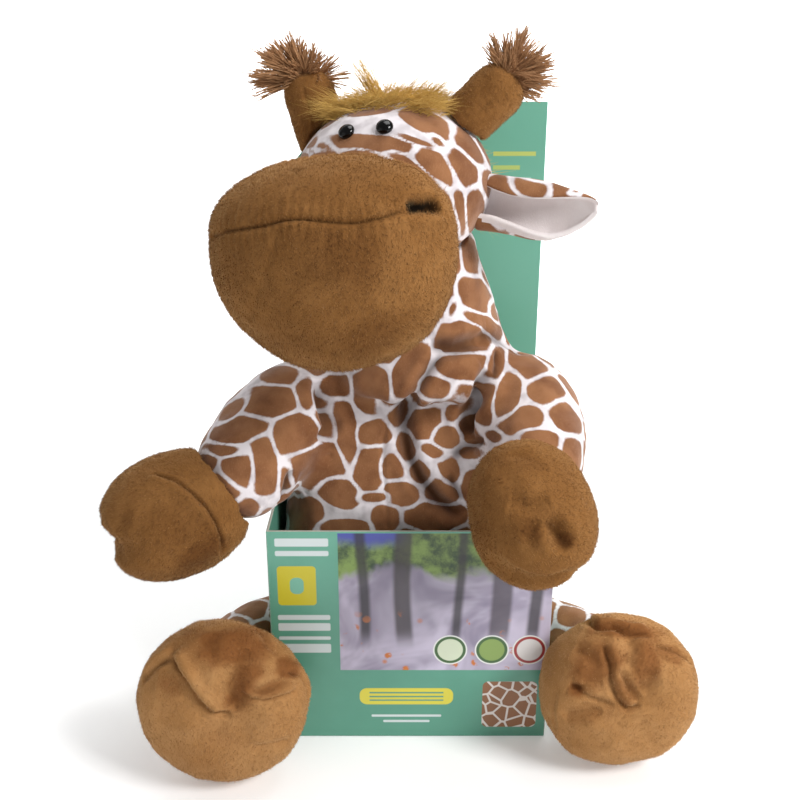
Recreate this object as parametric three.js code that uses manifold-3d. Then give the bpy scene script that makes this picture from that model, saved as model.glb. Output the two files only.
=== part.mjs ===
// Plush giraffe backpack with a harness, sitting in its open-fronted display box.
// Millimetres, +Z up, the face looks along -Y. The origin is the centre of the box's underside.
// Left and right are the giraffe's own: its left side is +X.

import * as THREE from 'three';
import { mergeVertices } from 'three/addons/utils/BufferGeometryUtils.js';
import Module from 'manifold-3d';

const wasm = await Module();
wasm.setup();

const V = (x, y, z) => new THREE.Vector3(x, y, z);
const SIDES = { right: -1, left: 1 };

// Clearance between pieces that touch
const GAP = 0.3;

// Display box of folded card
const BOARD = 1.5;
const BOX_WIDTH = 140;
const BOX_DEPTH = 102;
const TRAY_HEIGHT = 120;
const PANEL_HEIGHT = 312;
const CORNER_CUT_ACROSS = 34;
const CORNER_CUT_DOWN = 42;
const FRONT_FACE = -BOX_DEPTH / 2;
const PANEL_INSIDE = BOX_DEPTH / 2 - BOARD;
const WALL_INSIDE = BOX_WIDTH / 2 - BOARD;

// Torso: a padded bag with a zipped pouch that opens at its back
const TORSO_BASE = BOARD + GAP;
const TORSO_HEIGHT = 200;
const TORSO_EASE = 0.5;
const TORSO_HALF_WIDTH = WALL_INSIDE - TORSO_EASE;
const TORSO_HALF_DEPTH = (BOX_DEPTH - 2 * BOARD) / 2 - TORSO_EASE;
const TORSO_SQUARENESS = 2.8;
const TORSO_BLUNTNESS = 3.2;
const POUCH_SIDE_WALL = 30;
const POUCH_FRONT_WALL = 36;
const POUCH_BACK_WALL = 14;
const POUCH_FLOOR_WALL = 46;
const POUCH_TOP_WALL = 42;
const ZIP_SLOT_WIDTH = 8;
const ZIP_END = 8;

// Zip and harness webbing
const ZIP_TAPE_WIDTH = 24;
const ZIP_TAPE = 1.2;
const ZIP_TEETH_WIDTH = 5;
const ZIP_TEETH = 1.6;
const ZIP_PULL_LENGTH = 16;
const ZIP_PULL_WIDTH = 6;
const ZIP_PULL = 1;
const STRAP_WIDTH = 25;
const STRAP = 2;
const STRAP_SPREAD = 64;
const STRAP_UNDER_NECK = 4;
const STRAP_BOTTOM = 52;
const STRAP_TAB = 16;
const CHEST_STRAP_UNDER_TOP = 40;
const CHEST_STRAP_WIDTH = 20;
const BUCKLE_LENGTH = 46;
const BUCKLE_WIDTH = 27;
const BUCKLE_THICKNESS = 8;
const BUCKLE_EDGE = 1.5;

// Neck and limbs
const NECK_RADIUS = 38;
const NECK_SUNK = 26;
const NECK_SIDE = 6;
const NECK_BACK = 7;
const NECK_INTO_HEAD = 12;
const ARM_RADIUS = 27;
const HOOF_RADIUS = 31.5;
const HOOF_CLEFT = 9;
const HOOF_CLEFT_WIDTH = 8;
const HOOF_CLEFT_FROM = 0.7;
const LEG_RADIUS = 18;
const LEG_HEIGHT = 36;
const LEG_HOLE_EASE = 2;
const LEG_HOLE_BACK = -3;
const FOOT_RADIUS = 43;
const FOOT_DEPTH = 50;
const FOOT_BLUNTNESS = 2.4;

// Head, in its own frame, then turned and tipped on the neck
const HEAD_HALF = { wide: 48, deep: 44, high: 39 };
const HEAD_OVER_TORSO = 76;
const HEAD_SHIFT = V(-9, -5, 0);
const HEAD_TURN = THREE.MathUtils.degToRad(-19);
const HEAD_TIP = THREE.MathUtils.degToRad(-8);
const MUZZLE_HALF = { wide: 55, deep: 41 };
const MUZZLE_RISE = 36;
const MUZZLE_DROP = 54;
const MUZZLE_OUT = 74;
const MUZZLE_DOWN = 13;
const MUZZLE_SIDE = -2.5;
const MUZZLE_BLUNTNESS = 2.3;
const MUZZLE_TAPER = 0.04;
const EYE_RADIUS = 4;
const EYE_SPREAD = 17.6;
const EYE_SIDE = 2;
const EYE_UP = 28;
const EYE_DOME = 2.6;
const EAR_LENGTH = 52;
const EAR_HEIGHT = 33;
const EAR_THICKNESS = 5;
const EAR_CUP = 9;
const EAR_SUNK = 5;
const EAR_BACK = 2;
const LINING_THICKNESS = 2.4;
const LINING_SHARE = 0.84;
const HORN_RADIUS = 12.3;
const HORN_LENGTH = 42;
const HORN_SUNK = 9;
const HORN_BACK = 4;
const TUFT_SUNK = 1.5;
const TUFT_LOCK_RADIUS = 3.6;
const MANE_WIDTH = 22;
const MANE_SIDE = 3;
const MANE_PAD = 3;
const MANE_ROWS = 5;
const MANE_LOCK_RADIUS = 3.6;
const MANE_LOCK_SPREAD = 0.7;
const MANE_LOCK_FAN = 0.75;
const MANE_LOCK_RISE = 0.6;
const MANE_LOCK_LIFT = 0.1;
const LOCK_DROOP = 0.14;

// Colour, roughness and metalness of each material
const LOOKS = {
  card: { color: 0x6eac96, roughness: 0.55, metalness: 0 },
  giraffe_plush: { color: 0xb58a68, roughness: 0.95, metalness: 0 },
  brown_plush: { color: 0x9c6430, roughness: 0.95, metalness: 0 },
  white_plush: { color: 0xe8e1e2, roughness: 0.95, metalness: 0 },
  golden_pile: { color: 0xc8a03c, roughness: 0.9, metalness: 0 },
  tuft_pile: { color: 0x8a4f2a, roughness: 0.9, metalness: 0 },
  eye: { color: 0x080808, roughness: 0.1, metalness: 0 },
  webbing: { color: 0x5b3a22, roughness: 0.9, metalness: 0 },
  buckle: { color: 0x2b211b, roughness: 0.4, metalness: 0 },
};

// Geometry to solid and back
function merged(geometry) {
  const bare = new THREE.BufferGeometry();
  bare.setAttribute('position', geometry.attributes.position.clone());
  if (geometry.index) bare.setIndex(geometry.index.clone());
  const whole = mergeVertices(bare, 1e-4);
  const corners = [];
  for (let i = 0; i < whole.index.count; i += 3) {
    const [a, b, c] = [0, 1, 2].map((k) => whole.index.getX(i + k));
    if (a !== b && b !== c && c !== a) corners.push(a, b, c);
  }
  whole.setIndex(corners);
  return whole;
}

function solidOf(geometry) {
  const whole = merged(geometry);
  return new wasm.Manifold(new wasm.Mesh({
    numProp: 3,
    vertProperties: Float32Array.from(whole.attributes.position.array),
    triVerts: Uint32Array.from(whole.index.array),
  }));
}

function geometryOf(solid) {
  const mesh = solid.getMesh();
  const geometry = new THREE.BufferGeometry();
  geometry.setAttribute('position', new THREE.BufferAttribute(mesh.vertProperties, 3));
  geometry.setIndex(new THREE.BufferAttribute(mesh.triVerts, 1));
  geometry.computeVertexNormals();
  return geometry;
}

// The same skin pushed outwards, to cut the room that a neighbour keeps clear of it
function room(geometry, clearance = GAP) {
  const whole = merged(geometry);
  whole.computeVertexNormals();
  const { position, normal } = whole.attributes;
  for (let i = 0; i < position.count; i += 1) {
    position.setXYZ(
      i,
      position.getX(i) + normal.getX(i) * clearance,
      position.getY(i) + normal.getY(i) * clearance,
      position.getZ(i) + normal.getZ(i) * clearance,
    );
  }
  return solidOf(whole);
}

// Smooth value of a table's column at a share from 0 to 1 along it
function column(table, key) {
  const curve = new THREE.SplineCurve(table.map((row) => new THREE.Vector2(row.at, row[key])));
  return (share) => {
    let step = 0;
    while (step < table.length - 2 && table[step + 1].at <= share) step += 1;
    const span = table[step + 1].at - table[step].at;
    const within = THREE.MathUtils.clamp((share - table[step].at) / span, 0, 1);
    return curve.getPoint((step + within) / (table.length - 1)).y;
  };
}

// A closed skin of rings from pole to pole; place(angle, along) gives each point,
// with along running from 0 to 1 and the rings closer together at the poles
function skin(sides, rings, place) {
  const geometry = new THREE.SphereGeometry(1, sides, rings);
  const { position } = geometry.attributes;
  for (let i = 0; i < position.count; i += 1) {
    const angle = Math.atan2(0 - position.getZ(i), position.getX(i));
    const point = place(angle, (1 - position.getY(i)) / 2);
    position.setXYZ(i, point.x, point.y, point.z);
  }
  return geometry;
}

// Reach of a rounded square with unit half sides, from its centre at an angle
function squareReach(angle, squareness) {
  const sum = Math.abs(Math.cos(angle)) ** squareness + Math.abs(Math.sin(angle)) ** squareness;
  return sum ** (-1 / squareness);
}

// Rounding of a closed end: 1 in the middle, 0 at both poles
const endRound = (along, bluntness) => (
  Math.max(0, 1 - Math.abs(2 * along - 1) ** bluntness) ** (1 / bluntness)
);

// Dents press a skin inwards, towards a line or point given as its heart
function pressed(point, heart, dents) {
  for (const dent of dents) {
    const away = point.distanceTo(dent.spot) / dent.reach;
    if (away < 1) point.lerp(heart, (dent.depth * (1 - away * away) ** 2) / point.distanceTo(heart));
  }
  return point;
}

// Soft limb round a curve, its radius from a table of shares
function limb({ points, radius, table, sides = 14, rings = 9, bluntness = 3, cleft = null }) {
  const path = new THREE.CatmullRomCurve3(points);
  const heading = points.at(-1).clone().sub(points[0]).normalize();
  const reference = Math.abs(heading.z) > 0.7 ? V(0, 1, 0) : V(0, 0, 1);
  const share = column(table, 'radius');
  return skin(sides, rings, (angle, along) => {
    const centre = path.getPoint(along);
    const onward = path.getTangent(along);
    const across = reference.clone().cross(onward).normalize();
    const upward = across.clone().cross(onward);
    const r = radius * share(along) * endRound(along, bluntness);
    const point = centre
      .addScaledVector(across, r * Math.cos(angle))
      .addScaledVector(upward, r * Math.sin(angle));
    if (cleft) {
      const off = Math.abs(r * Math.sin(angle)) / cleft.width;
      const pull = Math.max(0, 1 - off) * THREE.MathUtils.smoothstep(along, cleft.from, 1);
      point.addScaledVector(onward, -cleft.depth * pull);
    }
    return point;
  });
}

// Box between two corners, and a flat plate cut from an outline of [across, up] points
function block(low, high) {
  const size = high.clone().sub(low);
  const middle = low.clone().add(high).multiplyScalar(0.5);
  return new THREE.BoxGeometry(size.x, size.y, size.z).translate(middle.x, middle.y, middle.z);
}

function uprightPlate(outline, thickness, back) {
  const shape = new THREE.Shape(outline.map(([x, z]) => new THREE.Vector2(x, z)));
  const geometry = new THREE.ExtrudeGeometry(shape, { depth: thickness, bevelEnabled: false });
  return geometry.rotateX(Math.PI / 2).translate(0, back, 0);
}

// Round bar along X, used for the leg holes
function barAlongX(radius, length, centre) {
  const bar = new THREE.CylinderGeometry(radius, radius, length, 24);
  return bar.rotateZ(Math.PI / 2).translate(centre.x, centre.y, centre.z);
}

// Webbing folded along a route of [y, z] points, with its width along X
function webbing(route, width, x) {
  const points = route.map(([y, z]) => new THREE.Vector2(y, z));
  const edge = (side) => points.map((point, i) => {
    const before = points[Math.max(0, i - 1)];
    const after = points[Math.min(points.length - 1, i + 1)];
    const into = point.clone().sub(before).normalize();
    const out = after.clone().sub(point).normalize();
    const run = into.clone().add(out).normalize();
    const lead = i === 0 ? out : into;
    const mitre = (side * STRAP) / 2 / Math.max(0.5, Math.abs(run.dot(lead)));
    return new THREE.Vector2(point.x - run.y * mitre, point.y + run.x * mitre);
  });
  const shape = new THREE.Shape([...edge(1), ...edge(-1).reverse()]);
  const geometry = new THREE.ExtrudeGeometry(shape, { depth: width, bevelEnabled: false });
  const toWorld = new THREE.Matrix4().makeBasis(V(0, 1, 0), V(0, 0, 1), V(1, 0, 0));
  return geometry.applyMatrix4(toWorld).translate(x - width / 2, 0, 0);
}

// Frame of the head: local -Y is the way the face looks
const HEAD_AT = V(HEAD_SHIFT.x, HEAD_SHIFT.y, TORSO_BASE + TORSO_HEIGHT + HEAD_OVER_TORSO);
const headFrame = new THREE.Matrix4()
  .makeTranslation(HEAD_AT)
  .multiply(new THREE.Matrix4().makeRotationZ(HEAD_TURN))
  .multiply(new THREE.Matrix4().makeRotationY(HEAD_TIP));

// Point on the front of the head's egg, from shares of its half width and half height
function onHead(across, up) {
  const deep = Math.sqrt(Math.max(0, 1 - across * across - up * up));
  return V(across * HEAD_HALF.wide, -deep * HEAD_HALF.deep, up * HEAD_HALF.high);
}

// Torso rings: along is measured down from the shoulders, wide, deep and forward are shares of the halves
const TORSO_TABLE = [
  { at: 0.0, wide: 0.52, deep: 0.62, forward: -0.2 },
  { at: 0.12, wide: 0.8, deep: 0.8, forward: -0.16 },
  { at: 0.3, wide: 0.92, deep: 0.9, forward: -0.09 },
  { at: 0.5, wide: 0.98, deep: 0.98, forward: -0.02 },
  { at: 0.75, wide: 1.0, deep: 1.0, forward: 0 },
  { at: 1.0, wide: 0.97, deep: 0.97, forward: 0 },
];
const TORSO_DENTS = [
  { across: -0.18, front: -1.0, up: 0.7, reach: 0.36, depth: 0.1 },
  { across: -0.16, front: -1.0, up: 0.86, reach: 0.3, depth: 0.12 },
  { across: 0.42, front: -0.9, up: 0.88, reach: 0.3, depth: 0.14 },
  { across: -0.78, front: -0.8, up: 0.72, reach: 0.3, depth: 0.12 },
];

function torsoSkin(sides, rings) {
  const wide = column(TORSO_TABLE, 'wide');
  const deep = column(TORSO_TABLE, 'deep');
  const forward = column(TORSO_TABLE, 'forward');
  const dents = TORSO_DENTS.map((dent) => ({
    spot: V(dent.across * TORSO_HALF_WIDTH, dent.front * TORSO_HALF_DEPTH, dent.up * TORSO_HEIGHT),
    reach: dent.reach * TORSO_HEIGHT,
    depth: dent.depth * TORSO_HALF_DEPTH,
  }));
  return skin(sides, rings, (angle, along) => {
    const reach = squareReach(angle, TORSO_SQUARENESS) * endRound(along, TORSO_BLUNTNESS);
    const z = TORSO_BASE + (1 - along) * TORSO_HEIGHT;
    const middle = -forward(along) * TORSO_HALF_DEPTH;
    const point = V(
      Math.cos(angle) * reach * wide(along) * TORSO_HALF_WIDTH,
      middle + Math.sin(angle) * reach * deep(along) * TORSO_HALF_DEPTH,
      z,
    );
    return pressed(point, V(0, middle, z), dents);
  });
}

// Display box: tray with leg holes, and a tall back panel with four strap slots
function displayBox() {
  const half = BOX_WIDTH / 2;
  const panel = uprightPlate([
    [-half, 0],
    [half, 0],
    [half, PANEL_HEIGHT],
    [-half + CORNER_CUT_ACROSS, PANEL_HEIGHT],
    [-half, PANEL_HEIGHT - CORNER_CUT_DOWN],
  ], BOARD, BOX_DEPTH / 2);
  const tray = solidOf(block(V(-half, FRONT_FACE, 0), V(half, BOX_DEPTH / 2, TRAY_HEIGHT)))
    .subtract(solidOf(block(
      V(-WALL_INSIDE, FRONT_FACE + BOARD, BOARD),
      V(WALL_INSIDE, PANEL_INSIDE, TRAY_HEIGHT + BOARD),
    )));
  const legHoles = barAlongX(
    LEG_RADIUS + LEG_HOLE_EASE, BOX_WIDTH + 2 * BOARD, V(0, LEG_HOLE_BACK, LEG_HEIGHT),
  );
  let box = tray.add(solidOf(panel)).subtract(solidOf(legHoles));
  for (const side of Object.values(SIDES)) {
    const x = (side * STRAP_SPREAD) / 2;
    const halfSlot = STRAP_WIDTH / 2 + GAP;
    for (const z of [STRAP_TOP, STRAP_BOTTOM]) {
      box = box.subtract(solidOf(block(
        V(x - halfSlot, PANEL_INSIDE - BOARD, z - STRAP / 2 - GAP),
        V(x + halfSlot, BOX_DEPTH / 2 + BOARD, z + STRAP / 2 + GAP),
      )));
    }
  }
  return box;
}

// Arms and hooves: points past the torso's side, ahead of its middle and below the shoulder
const SHOULDER = TORSO_BASE + TORSO_HEIGHT - ARM_RADIUS;
const alongRoute = (side, rows) => rows.map(({ past, ahead, below }) => V(
  SIDES[side] * (TORSO_HALF_WIDTH + past), -ahead, SHOULDER - below,
));
const ARM_ROUTES = {
  right: [
    { past: -26, ahead: -4, below: -4 },
    { past: -4, ahead: 14, below: 14 },
    { past: 13, ahead: 36, below: 29 },
    { past: 29, ahead: 48, below: 36 },
  ],
  left: [
    { past: -26, ahead: -5, below: -8 },
    { past: -12, ahead: 12, below: 7 },
    { past: -10, ahead: 38, below: 20 },
    { past: -14, ahead: 66, below: 26 },
  ],
};
const ARM_TABLE = [
  { at: 0, radius: 1 },
  { at: 0.4, radius: 1.02 },
  { at: 0.75, radius: 0.96 },
  { at: 1, radius: 0.86 },
];
const HOOF_ROUTES = {
  right: [
    { past: 13, ahead: 42, below: 29 },
    { past: 42, ahead: 50, below: 45 },
    { past: 78, ahead: 60, below: 53 },
  ],
  left: [
    { past: -18, ahead: 50, below: 15 },
    { past: -15, ahead: 79, below: 29 },
    { past: -6, ahead: 106, below: 52 },
  ],
};
const HOOF_SIZE = { right: 1, left: 0.94 };
const HOOF_TABLE = [
  { at: 0, radius: 0.86 },
  { at: 0.3, radius: 0.95 },
  { at: 0.6, radius: 1 },
  { at: 1, radius: 0.96 },
];

// Legs: from the hip through the box's wall, then forwards into the foot
const LEG_ROUTE = [
  { past: -20, ahead: 0 },
  { past: -6, ahead: 0 },
  { past: 6, ahead: 0.5 },
  { past: 20, ahead: 13 },
];
const LEG_SWING = 3;
const LEG_SHORT_OF_FOOT = 8;
const LEG_TABLE = [
  { at: 0, radius: 1 },
  { at: 0.5, radius: 1 },
  { at: 1, radius: 0.95 },
];

// Feet: beside the box's front, past its side wall and ahead of its front face
const FEET = {
  right: { past: 20.4, ahead: 2, size: 1 },
  left: { past: 32, ahead: -9, size: 0.95 },
};
const FOOT_DENTS = [
  { across: 0.1, up: 0.25, reach: 0.5, depth: 0.12 },
  { across: -0.45, up: 0.35, reach: 0.35, depth: 0.08 },
  { across: 0.35, up: -0.25, reach: 0.4, depth: 0.07 },
];
const footAt = (side) => V(
  SIDES[side] * (BOX_WIDTH / 2 + FEET[side].past),
  FRONT_FACE - FOOT_DEPTH / 2 - FEET[side].ahead,
  FOOT_RADIUS * FEET[side].size,
);

function armSkin(side) {
  return limb({
    points: alongRoute(side, ARM_ROUTES[side]),
    radius: ARM_RADIUS,
    table: ARM_TABLE,
    sides: 16,
    rings: 9,
  });
}

function hoofSkin(side) {
  return limb({
    points: alongRoute(side, HOOF_ROUTES[side]),
    radius: HOOF_RADIUS * HOOF_SIZE[side],
    table: HOOF_TABLE,
    sides: 16,
    rings: 12,
    bluntness: 2.6,
    cleft: { width: HOOF_CLEFT_WIDTH, depth: HOOF_CLEFT, from: HOOF_CLEFT_FROM },
  });
}

function legSkin(side) {
  const foot = footAt(side);
  const points = LEG_ROUTE.map(({ past, ahead }) => V(
    SIDES[side] * (BOX_WIDTH / 2 + past), LEG_HOLE_BACK - ahead, LEG_HEIGHT,
  ));
  points.push(V(foot.x + SIDES[side] * LEG_SWING, (LEG_HOLE_BACK + foot.y) / 2, LEG_HEIGHT));
  points.push(V(foot.x, foot.y + LEG_SHORT_OF_FOOT, LEG_HEIGHT));
  return limb({
    points,
    radius: LEG_RADIUS,
    table: LEG_TABLE,
    sides: 14,
    rings: 12,
    bluntness: 6,
  });
}

function footSkin(side) {
  const centre = footAt(side);
  const radius = FOOT_RADIUS * FEET[side].size;
  const dents = FOOT_DENTS.map((dent) => ({
    spot: centre.clone().add(V(dent.across * radius, -FOOT_DEPTH / 2, dent.up * radius)),
    reach: dent.reach * radius,
    depth: dent.depth * radius,
  }));
  return skin(20, 12, (angle, along) => {
    const reach = endRound(along, FOOT_BLUNTNESS) * radius;
    const point = V(
      centre.x + reach * Math.cos(angle),
      centre.y + (0.5 - along) * FOOT_DEPTH,
      centre.z - reach * Math.sin(angle),
    );
    return pressed(point, V(point.x, centre.y, point.z), dents);
  });
}

// Neck from the shoulders into the head
const NECK_TABLE = [
  { at: 0, radius: 1.38 },
  { at: 0.35, radius: 1.12 },
  { at: 0.7, radius: 0.88 },
  { at: 1, radius: 0.8 },
];

function neckSkin() {
  const foot = TORSO_BASE + TORSO_HEIGHT - NECK_SUNK;
  return limb({
    points: [
      V(NECK_SIDE, NECK_BACK, foot),
      V(NECK_SIDE, NECK_BACK, foot + NECK_SUNK * 1.4),
      V(HEAD_AT.x + NECK_SIDE, HEAD_AT.y + NECK_BACK, HEAD_AT.z - NECK_INTO_HEAD),
    ],
    radius: NECK_RADIUS,
    table: NECK_TABLE,
    sides: 16,
    rings: 9,
    bluntness: 7,
  });
}

// Head pieces
function headSkin() {
  return skin(24, 16, (angle, along) => {
    const up = 1 - 2 * along;
    const flat = Math.sqrt(Math.max(0, 1 - up * up));
    return V(
      HEAD_HALF.wide * flat * Math.cos(angle),
      HEAD_HALF.deep * flat * Math.sin(angle),
      HEAD_HALF.high * up,
    );
  }).applyMatrix4(headFrame);
}

const MUZZLE_DENTS = [
  { across: 0.84, front: -0.42, up: 0.1, reach: 0.3, depth: 0.07 },
  { across: -0.8, front: -0.45, up: 0.1, reach: 0.3, depth: 0.05 },
  { across: -0.6, front: -0.6, up: -0.75, reach: 0.3, depth: 0.06 },
];

function muzzleSkin() {
  const heart = V(MUZZLE_SIDE, -MUZZLE_OUT, -MUZZLE_DOWN);
  const dents = MUZZLE_DENTS.map((dent) => ({
    spot: heart.clone().add(V(
      dent.across * MUZZLE_HALF.wide, dent.front * MUZZLE_HALF.deep, dent.up * MUZZLE_DROP,
    )),
    reach: dent.reach * MUZZLE_HALF.wide,
    depth: dent.depth * MUZZLE_HALF.wide,
  }));
  return skin(22, 16, (angle, along) => {
    const up = 1 - 2 * along;
    const flat = endRound(along, MUZZLE_BLUNTNESS);
    const taper = 1 - MUZZLE_TAPER * Math.max(0, -up);
    const point = V(
      heart.x + MUZZLE_HALF.wide * flat * taper * Math.cos(angle),
      heart.y + MUZZLE_HALF.deep * flat * taper * Math.sin(angle),
      heart.z + up * (up > 0 ? MUZZLE_RISE : MUZZLE_DROP),
    );
    return pressed(point, heart, dents);
  }).applyMatrix4(headFrame);
}

function eyeSkin(side) {
  const across = (EYE_SIDE + (SIDES[side] * EYE_SPREAD) / 2) / HEAD_HALF.wide;
  const seat = onHead(across, EYE_UP / HEAD_HALF.high);
  const out = V(
    seat.x / HEAD_HALF.wide ** 2, seat.y / HEAD_HALF.deep ** 2, seat.z / HEAD_HALF.high ** 2,
  ).normalize();
  const turn = new THREE.Quaternion().setFromUnitVectors(V(0, 0, 1), out);
  return skin(12, 8, (angle, along) => {
    const up = 1 - 2 * along;
    const flat = Math.sqrt(Math.max(0, 1 - up * up)) * EYE_RADIUS;
    return V(flat * Math.cos(angle), flat * Math.sin(angle), up * EYE_DOME).applyQuaternion(turn).add(seat);
  }).applyMatrix4(headFrame);
}

// Ears: a cupped leaf that stands out from the head's side and opens forwards
const EAR_POSE = { droop: 0.14, back: 0.1, up: -0.32 };
const EAR_TABLE = [
  { at: 0, high: 0.6 },
  { at: 0.3, high: 0.9 },
  { at: 0.6, high: 1 },
  { at: 0.85, high: 0.9 },
  { at: 1, high: 0.7 },
];

function earLeaf(side, { share, thickness, forward }, sides, rings) {
  const s = SIDES[side];
  const root = V(s * (HEAD_HALF.wide - EAR_SUNK), EAR_BACK, EAR_POSE.up * HEAD_HALF.high);
  const frame = new THREE.Matrix4()
    .makeTranslation(root)
    .multiply(new THREE.Matrix4().makeRotationZ(s * EAR_POSE.back))
    .multiply(new THREE.Matrix4().makeRotationY(s * EAR_POSE.droop));
  const leaf = column(EAR_TABLE, 'high');
  return skin(sides, rings, (angle, along) => {
    const high = (EAR_HEIGHT / 2) * share * leaf(along) * endRound(along, 4) * Math.cos(angle);
    const thick = (thickness / 2) * endRound(along, 6) * Math.sin(angle);
    const cup = EAR_CUP * (1 - (2 * Math.abs(high) / EAR_HEIGHT) ** 2);
    const length = EAR_LENGTH * (0.5 + (along - 0.5) * share);
    return V(s * length, cup - forward + s * thick, high);
  }).applyMatrix4(frame).applyMatrix4(headFrame);
}

const earSkin = (side) => earLeaf(side, { share: 1, thickness: EAR_THICKNESS, forward: 0 }, 14, 11);
const liningSkin = (side) => earLeaf(side, {
  share: LINING_SHARE,
  thickness: LINING_THICKNESS,
  forward: EAR_THICKNESS / 2 + LINING_THICKNESS / 2,
}, 12, 8);

// Horns stand on the crown, each at its own lean
const HORNS = {
  right: { across: -0.68, up: 0.58, lean: -0.3, back: 0.1 },
  left: { across: 0.72, up: 0.56, lean: 0.8, back: 0.08 },
};

function hornAxis(side) {
  const horn = HORNS[side];
  const seat = onHead(horn.across, horn.up).setY(HORN_BACK).applyMatrix4(headFrame);
  const onward = V(Math.sin(horn.lean), horn.back, Math.cos(horn.lean)).normalize();
  return { seat, onward, tip: seat.clone().addScaledVector(onward, HORN_LENGTH - HORN_SUNK) };
}

function hornSkin(side) {
  const { seat, onward } = hornAxis(side);
  const foot = seat.clone().addScaledVector(onward, -HORN_SUNK);
  const end = foot.clone().addScaledVector(onward, HORN_LENGTH);
  const middle = foot.clone().lerp(end, 0.5);
  return limb({
    points: [foot, middle, end],
    radius: HORN_RADIUS,
    table: [{ at: 0, radius: 1.02 }, { at: 0.5, radius: 1 }, { at: 1, radius: 1.04 }],
    sides: 16,
    rings: 10,
    bluntness: 4,
  });
}

// One tapering lock of pile, curling towards the ground
function lock({ root, onward, length, radius, rings }) {
  const bend = root.clone().addScaledVector(onward, length * 0.55);
  const end = bend.clone().addScaledVector(onward, length * 0.45).add(V(0, 0, -LOCK_DROOP * length));
  return limb({
    points: [root, bend, end],
    radius,
    table: [{ at: 0, radius: 0.9 }, { at: 0.5, radius: 1.1 }, { at: 1, radius: 0.5 }],
    sides: 5,
    rings,
    bluntness: 2,
  });
}

// Tufts: a fan of locks fused to a knob on the horn's tip; across and up are the lock's heading
const TUFTS = {
  right: [
    { across: -1.0, back: -0.15, up: 0.12, length: 30 },
    { across: -0.85, back: 0.35, up: 0.5, length: 28 },
    { across: -0.75, back: -0.4, up: 0.62, length: 27 },
    { across: -0.35, back: 0.1, up: 0.9, length: 24 },
    { across: 0.05, back: -0.5, up: 0.8, length: 18 },
    { across: 0.75, back: 0.3, up: 0.42, length: 21 },
    { across: 0.9, back: -0.2, up: 0.18, length: 22 },
    { across: -0.3, back: -0.9, up: 0.2, length: 16 },
    { across: -0.2, back: 0.95, up: 0.1, length: 17 },
  ],
  left: [
    { across: -0.75, back: -0.15, up: 0.65, length: 19 },
    { across: -0.3, back: 0.5, up: 0.8, length: 18 },
    { across: 0.1, back: -0.45, up: 0.85, length: 19 },
    { across: 0.65, back: 0.1, up: 0.6, length: 22 },
    { across: 0.9, back: -0.2, up: 0.18, length: 22 },
    { across: 0.85, back: 0.35, up: -0.2, length: 20 },
    { across: 0.4, back: -0.8, up: -0.1, length: 16 },
    { across: 0.1, back: 0.95, up: 0.1, length: 15 },
  ],
};

function tuftSkin(side) {
  const { tip, onward } = hornAxis(side);
  const heart = tip.clone().addScaledVector(onward, TUFT_SUNK);
  let solid = solidOf(new THREE.SphereGeometry(TUFT_LOCK_RADIUS * 2, 8, 6)
    .rotateX(Math.PI / 2).translate(heart.x, heart.y, heart.z));
  for (const row of TUFTS[side]) {
    const heading = V(row.across, row.back, row.up).normalize();
    solid = solid.add(solidOf(lock({
      root: heart, onward: heading, length: row.length, radius: TUFT_LOCK_RADIUS, rings: 4,
    })));
  }
  return geometryOf(solid);
}

// Mane: a padded strip from the crown over the back of the head and down the neck, with a row of locks
const MANE_TABLE = [
  { at: 0.0, y: -0.34, z: 0.97, lean: -0.3 },
  { at: 0.25, y: 0.28, z: 0.99, lean: 0.1 },
  { at: 0.5, y: 0.78, z: 0.66, lean: 0.8 },
  { at: 0.75, y: 1.0, z: 0.08, lean: 1.4 },
  { at: 1.0, y: 0.8, z: -0.64, lean: 1.7 },
];
const MANE_LOCKS = [
  { across: -0.95, length: 17 }, { across: 0.1, length: 20 }, { across: 1.0, length: 18 },
];

function manePoint(along, lift) {
  const y = column(MANE_TABLE, 'y')(along) * HEAD_HALF.deep;
  const z = column(MANE_TABLE, 'z')(along) * HEAD_HALF.high;
  const out = V(0, y / HEAD_HALF.deep ** 2, z / HEAD_HALF.high ** 2).normalize();
  return V(MANE_SIDE, y, z).addScaledVector(out, lift);
}

function maneSkin() {
  const strip = skin(8, 10, (angle, along) => {
    const centre = manePoint(along, MANE_PAD / 2);
    const ahead = manePoint(Math.min(1, along + 0.01), MANE_PAD / 2);
    const behind = manePoint(Math.max(0, along - 0.01), MANE_PAD / 2);
    const onward = ahead.sub(behind).normalize();
    const up = V(1, 0, 0).cross(onward);
    const reach = endRound(along, 4);
    return centre
      .add(V(-MANE_WIDTH * reach * Math.cos(angle), 0, 0))
      .addScaledVector(up, -MANE_PAD * reach * Math.sin(angle));
  });
  let solid = solidOf(strip);
  const lean = column(MANE_TABLE, 'lean');
  for (let row = 0; row < MANE_ROWS; row += 1) {
    const along = (row + 0.5) / MANE_ROWS;
    for (const { across, length } of MANE_LOCKS) {
      const root = manePoint(along, 0).add(V(across * MANE_WIDTH * MANE_LOCK_SPREAD, 0, 0));
      const rise = Math.cos(lean(along)) * MANE_LOCK_RISE + MANE_LOCK_LIFT;
      const heading = V(across * MANE_LOCK_FAN, Math.sin(lean(along)), rise).normalize();
      solid = solid.add(solidOf(lock({
        root, onward: heading, length, radius: MANE_LOCK_RADIUS, rings: 3,
      })));
    }
  }
  return geometryOf(solid).applyMatrix4(headFrame);
}

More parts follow.
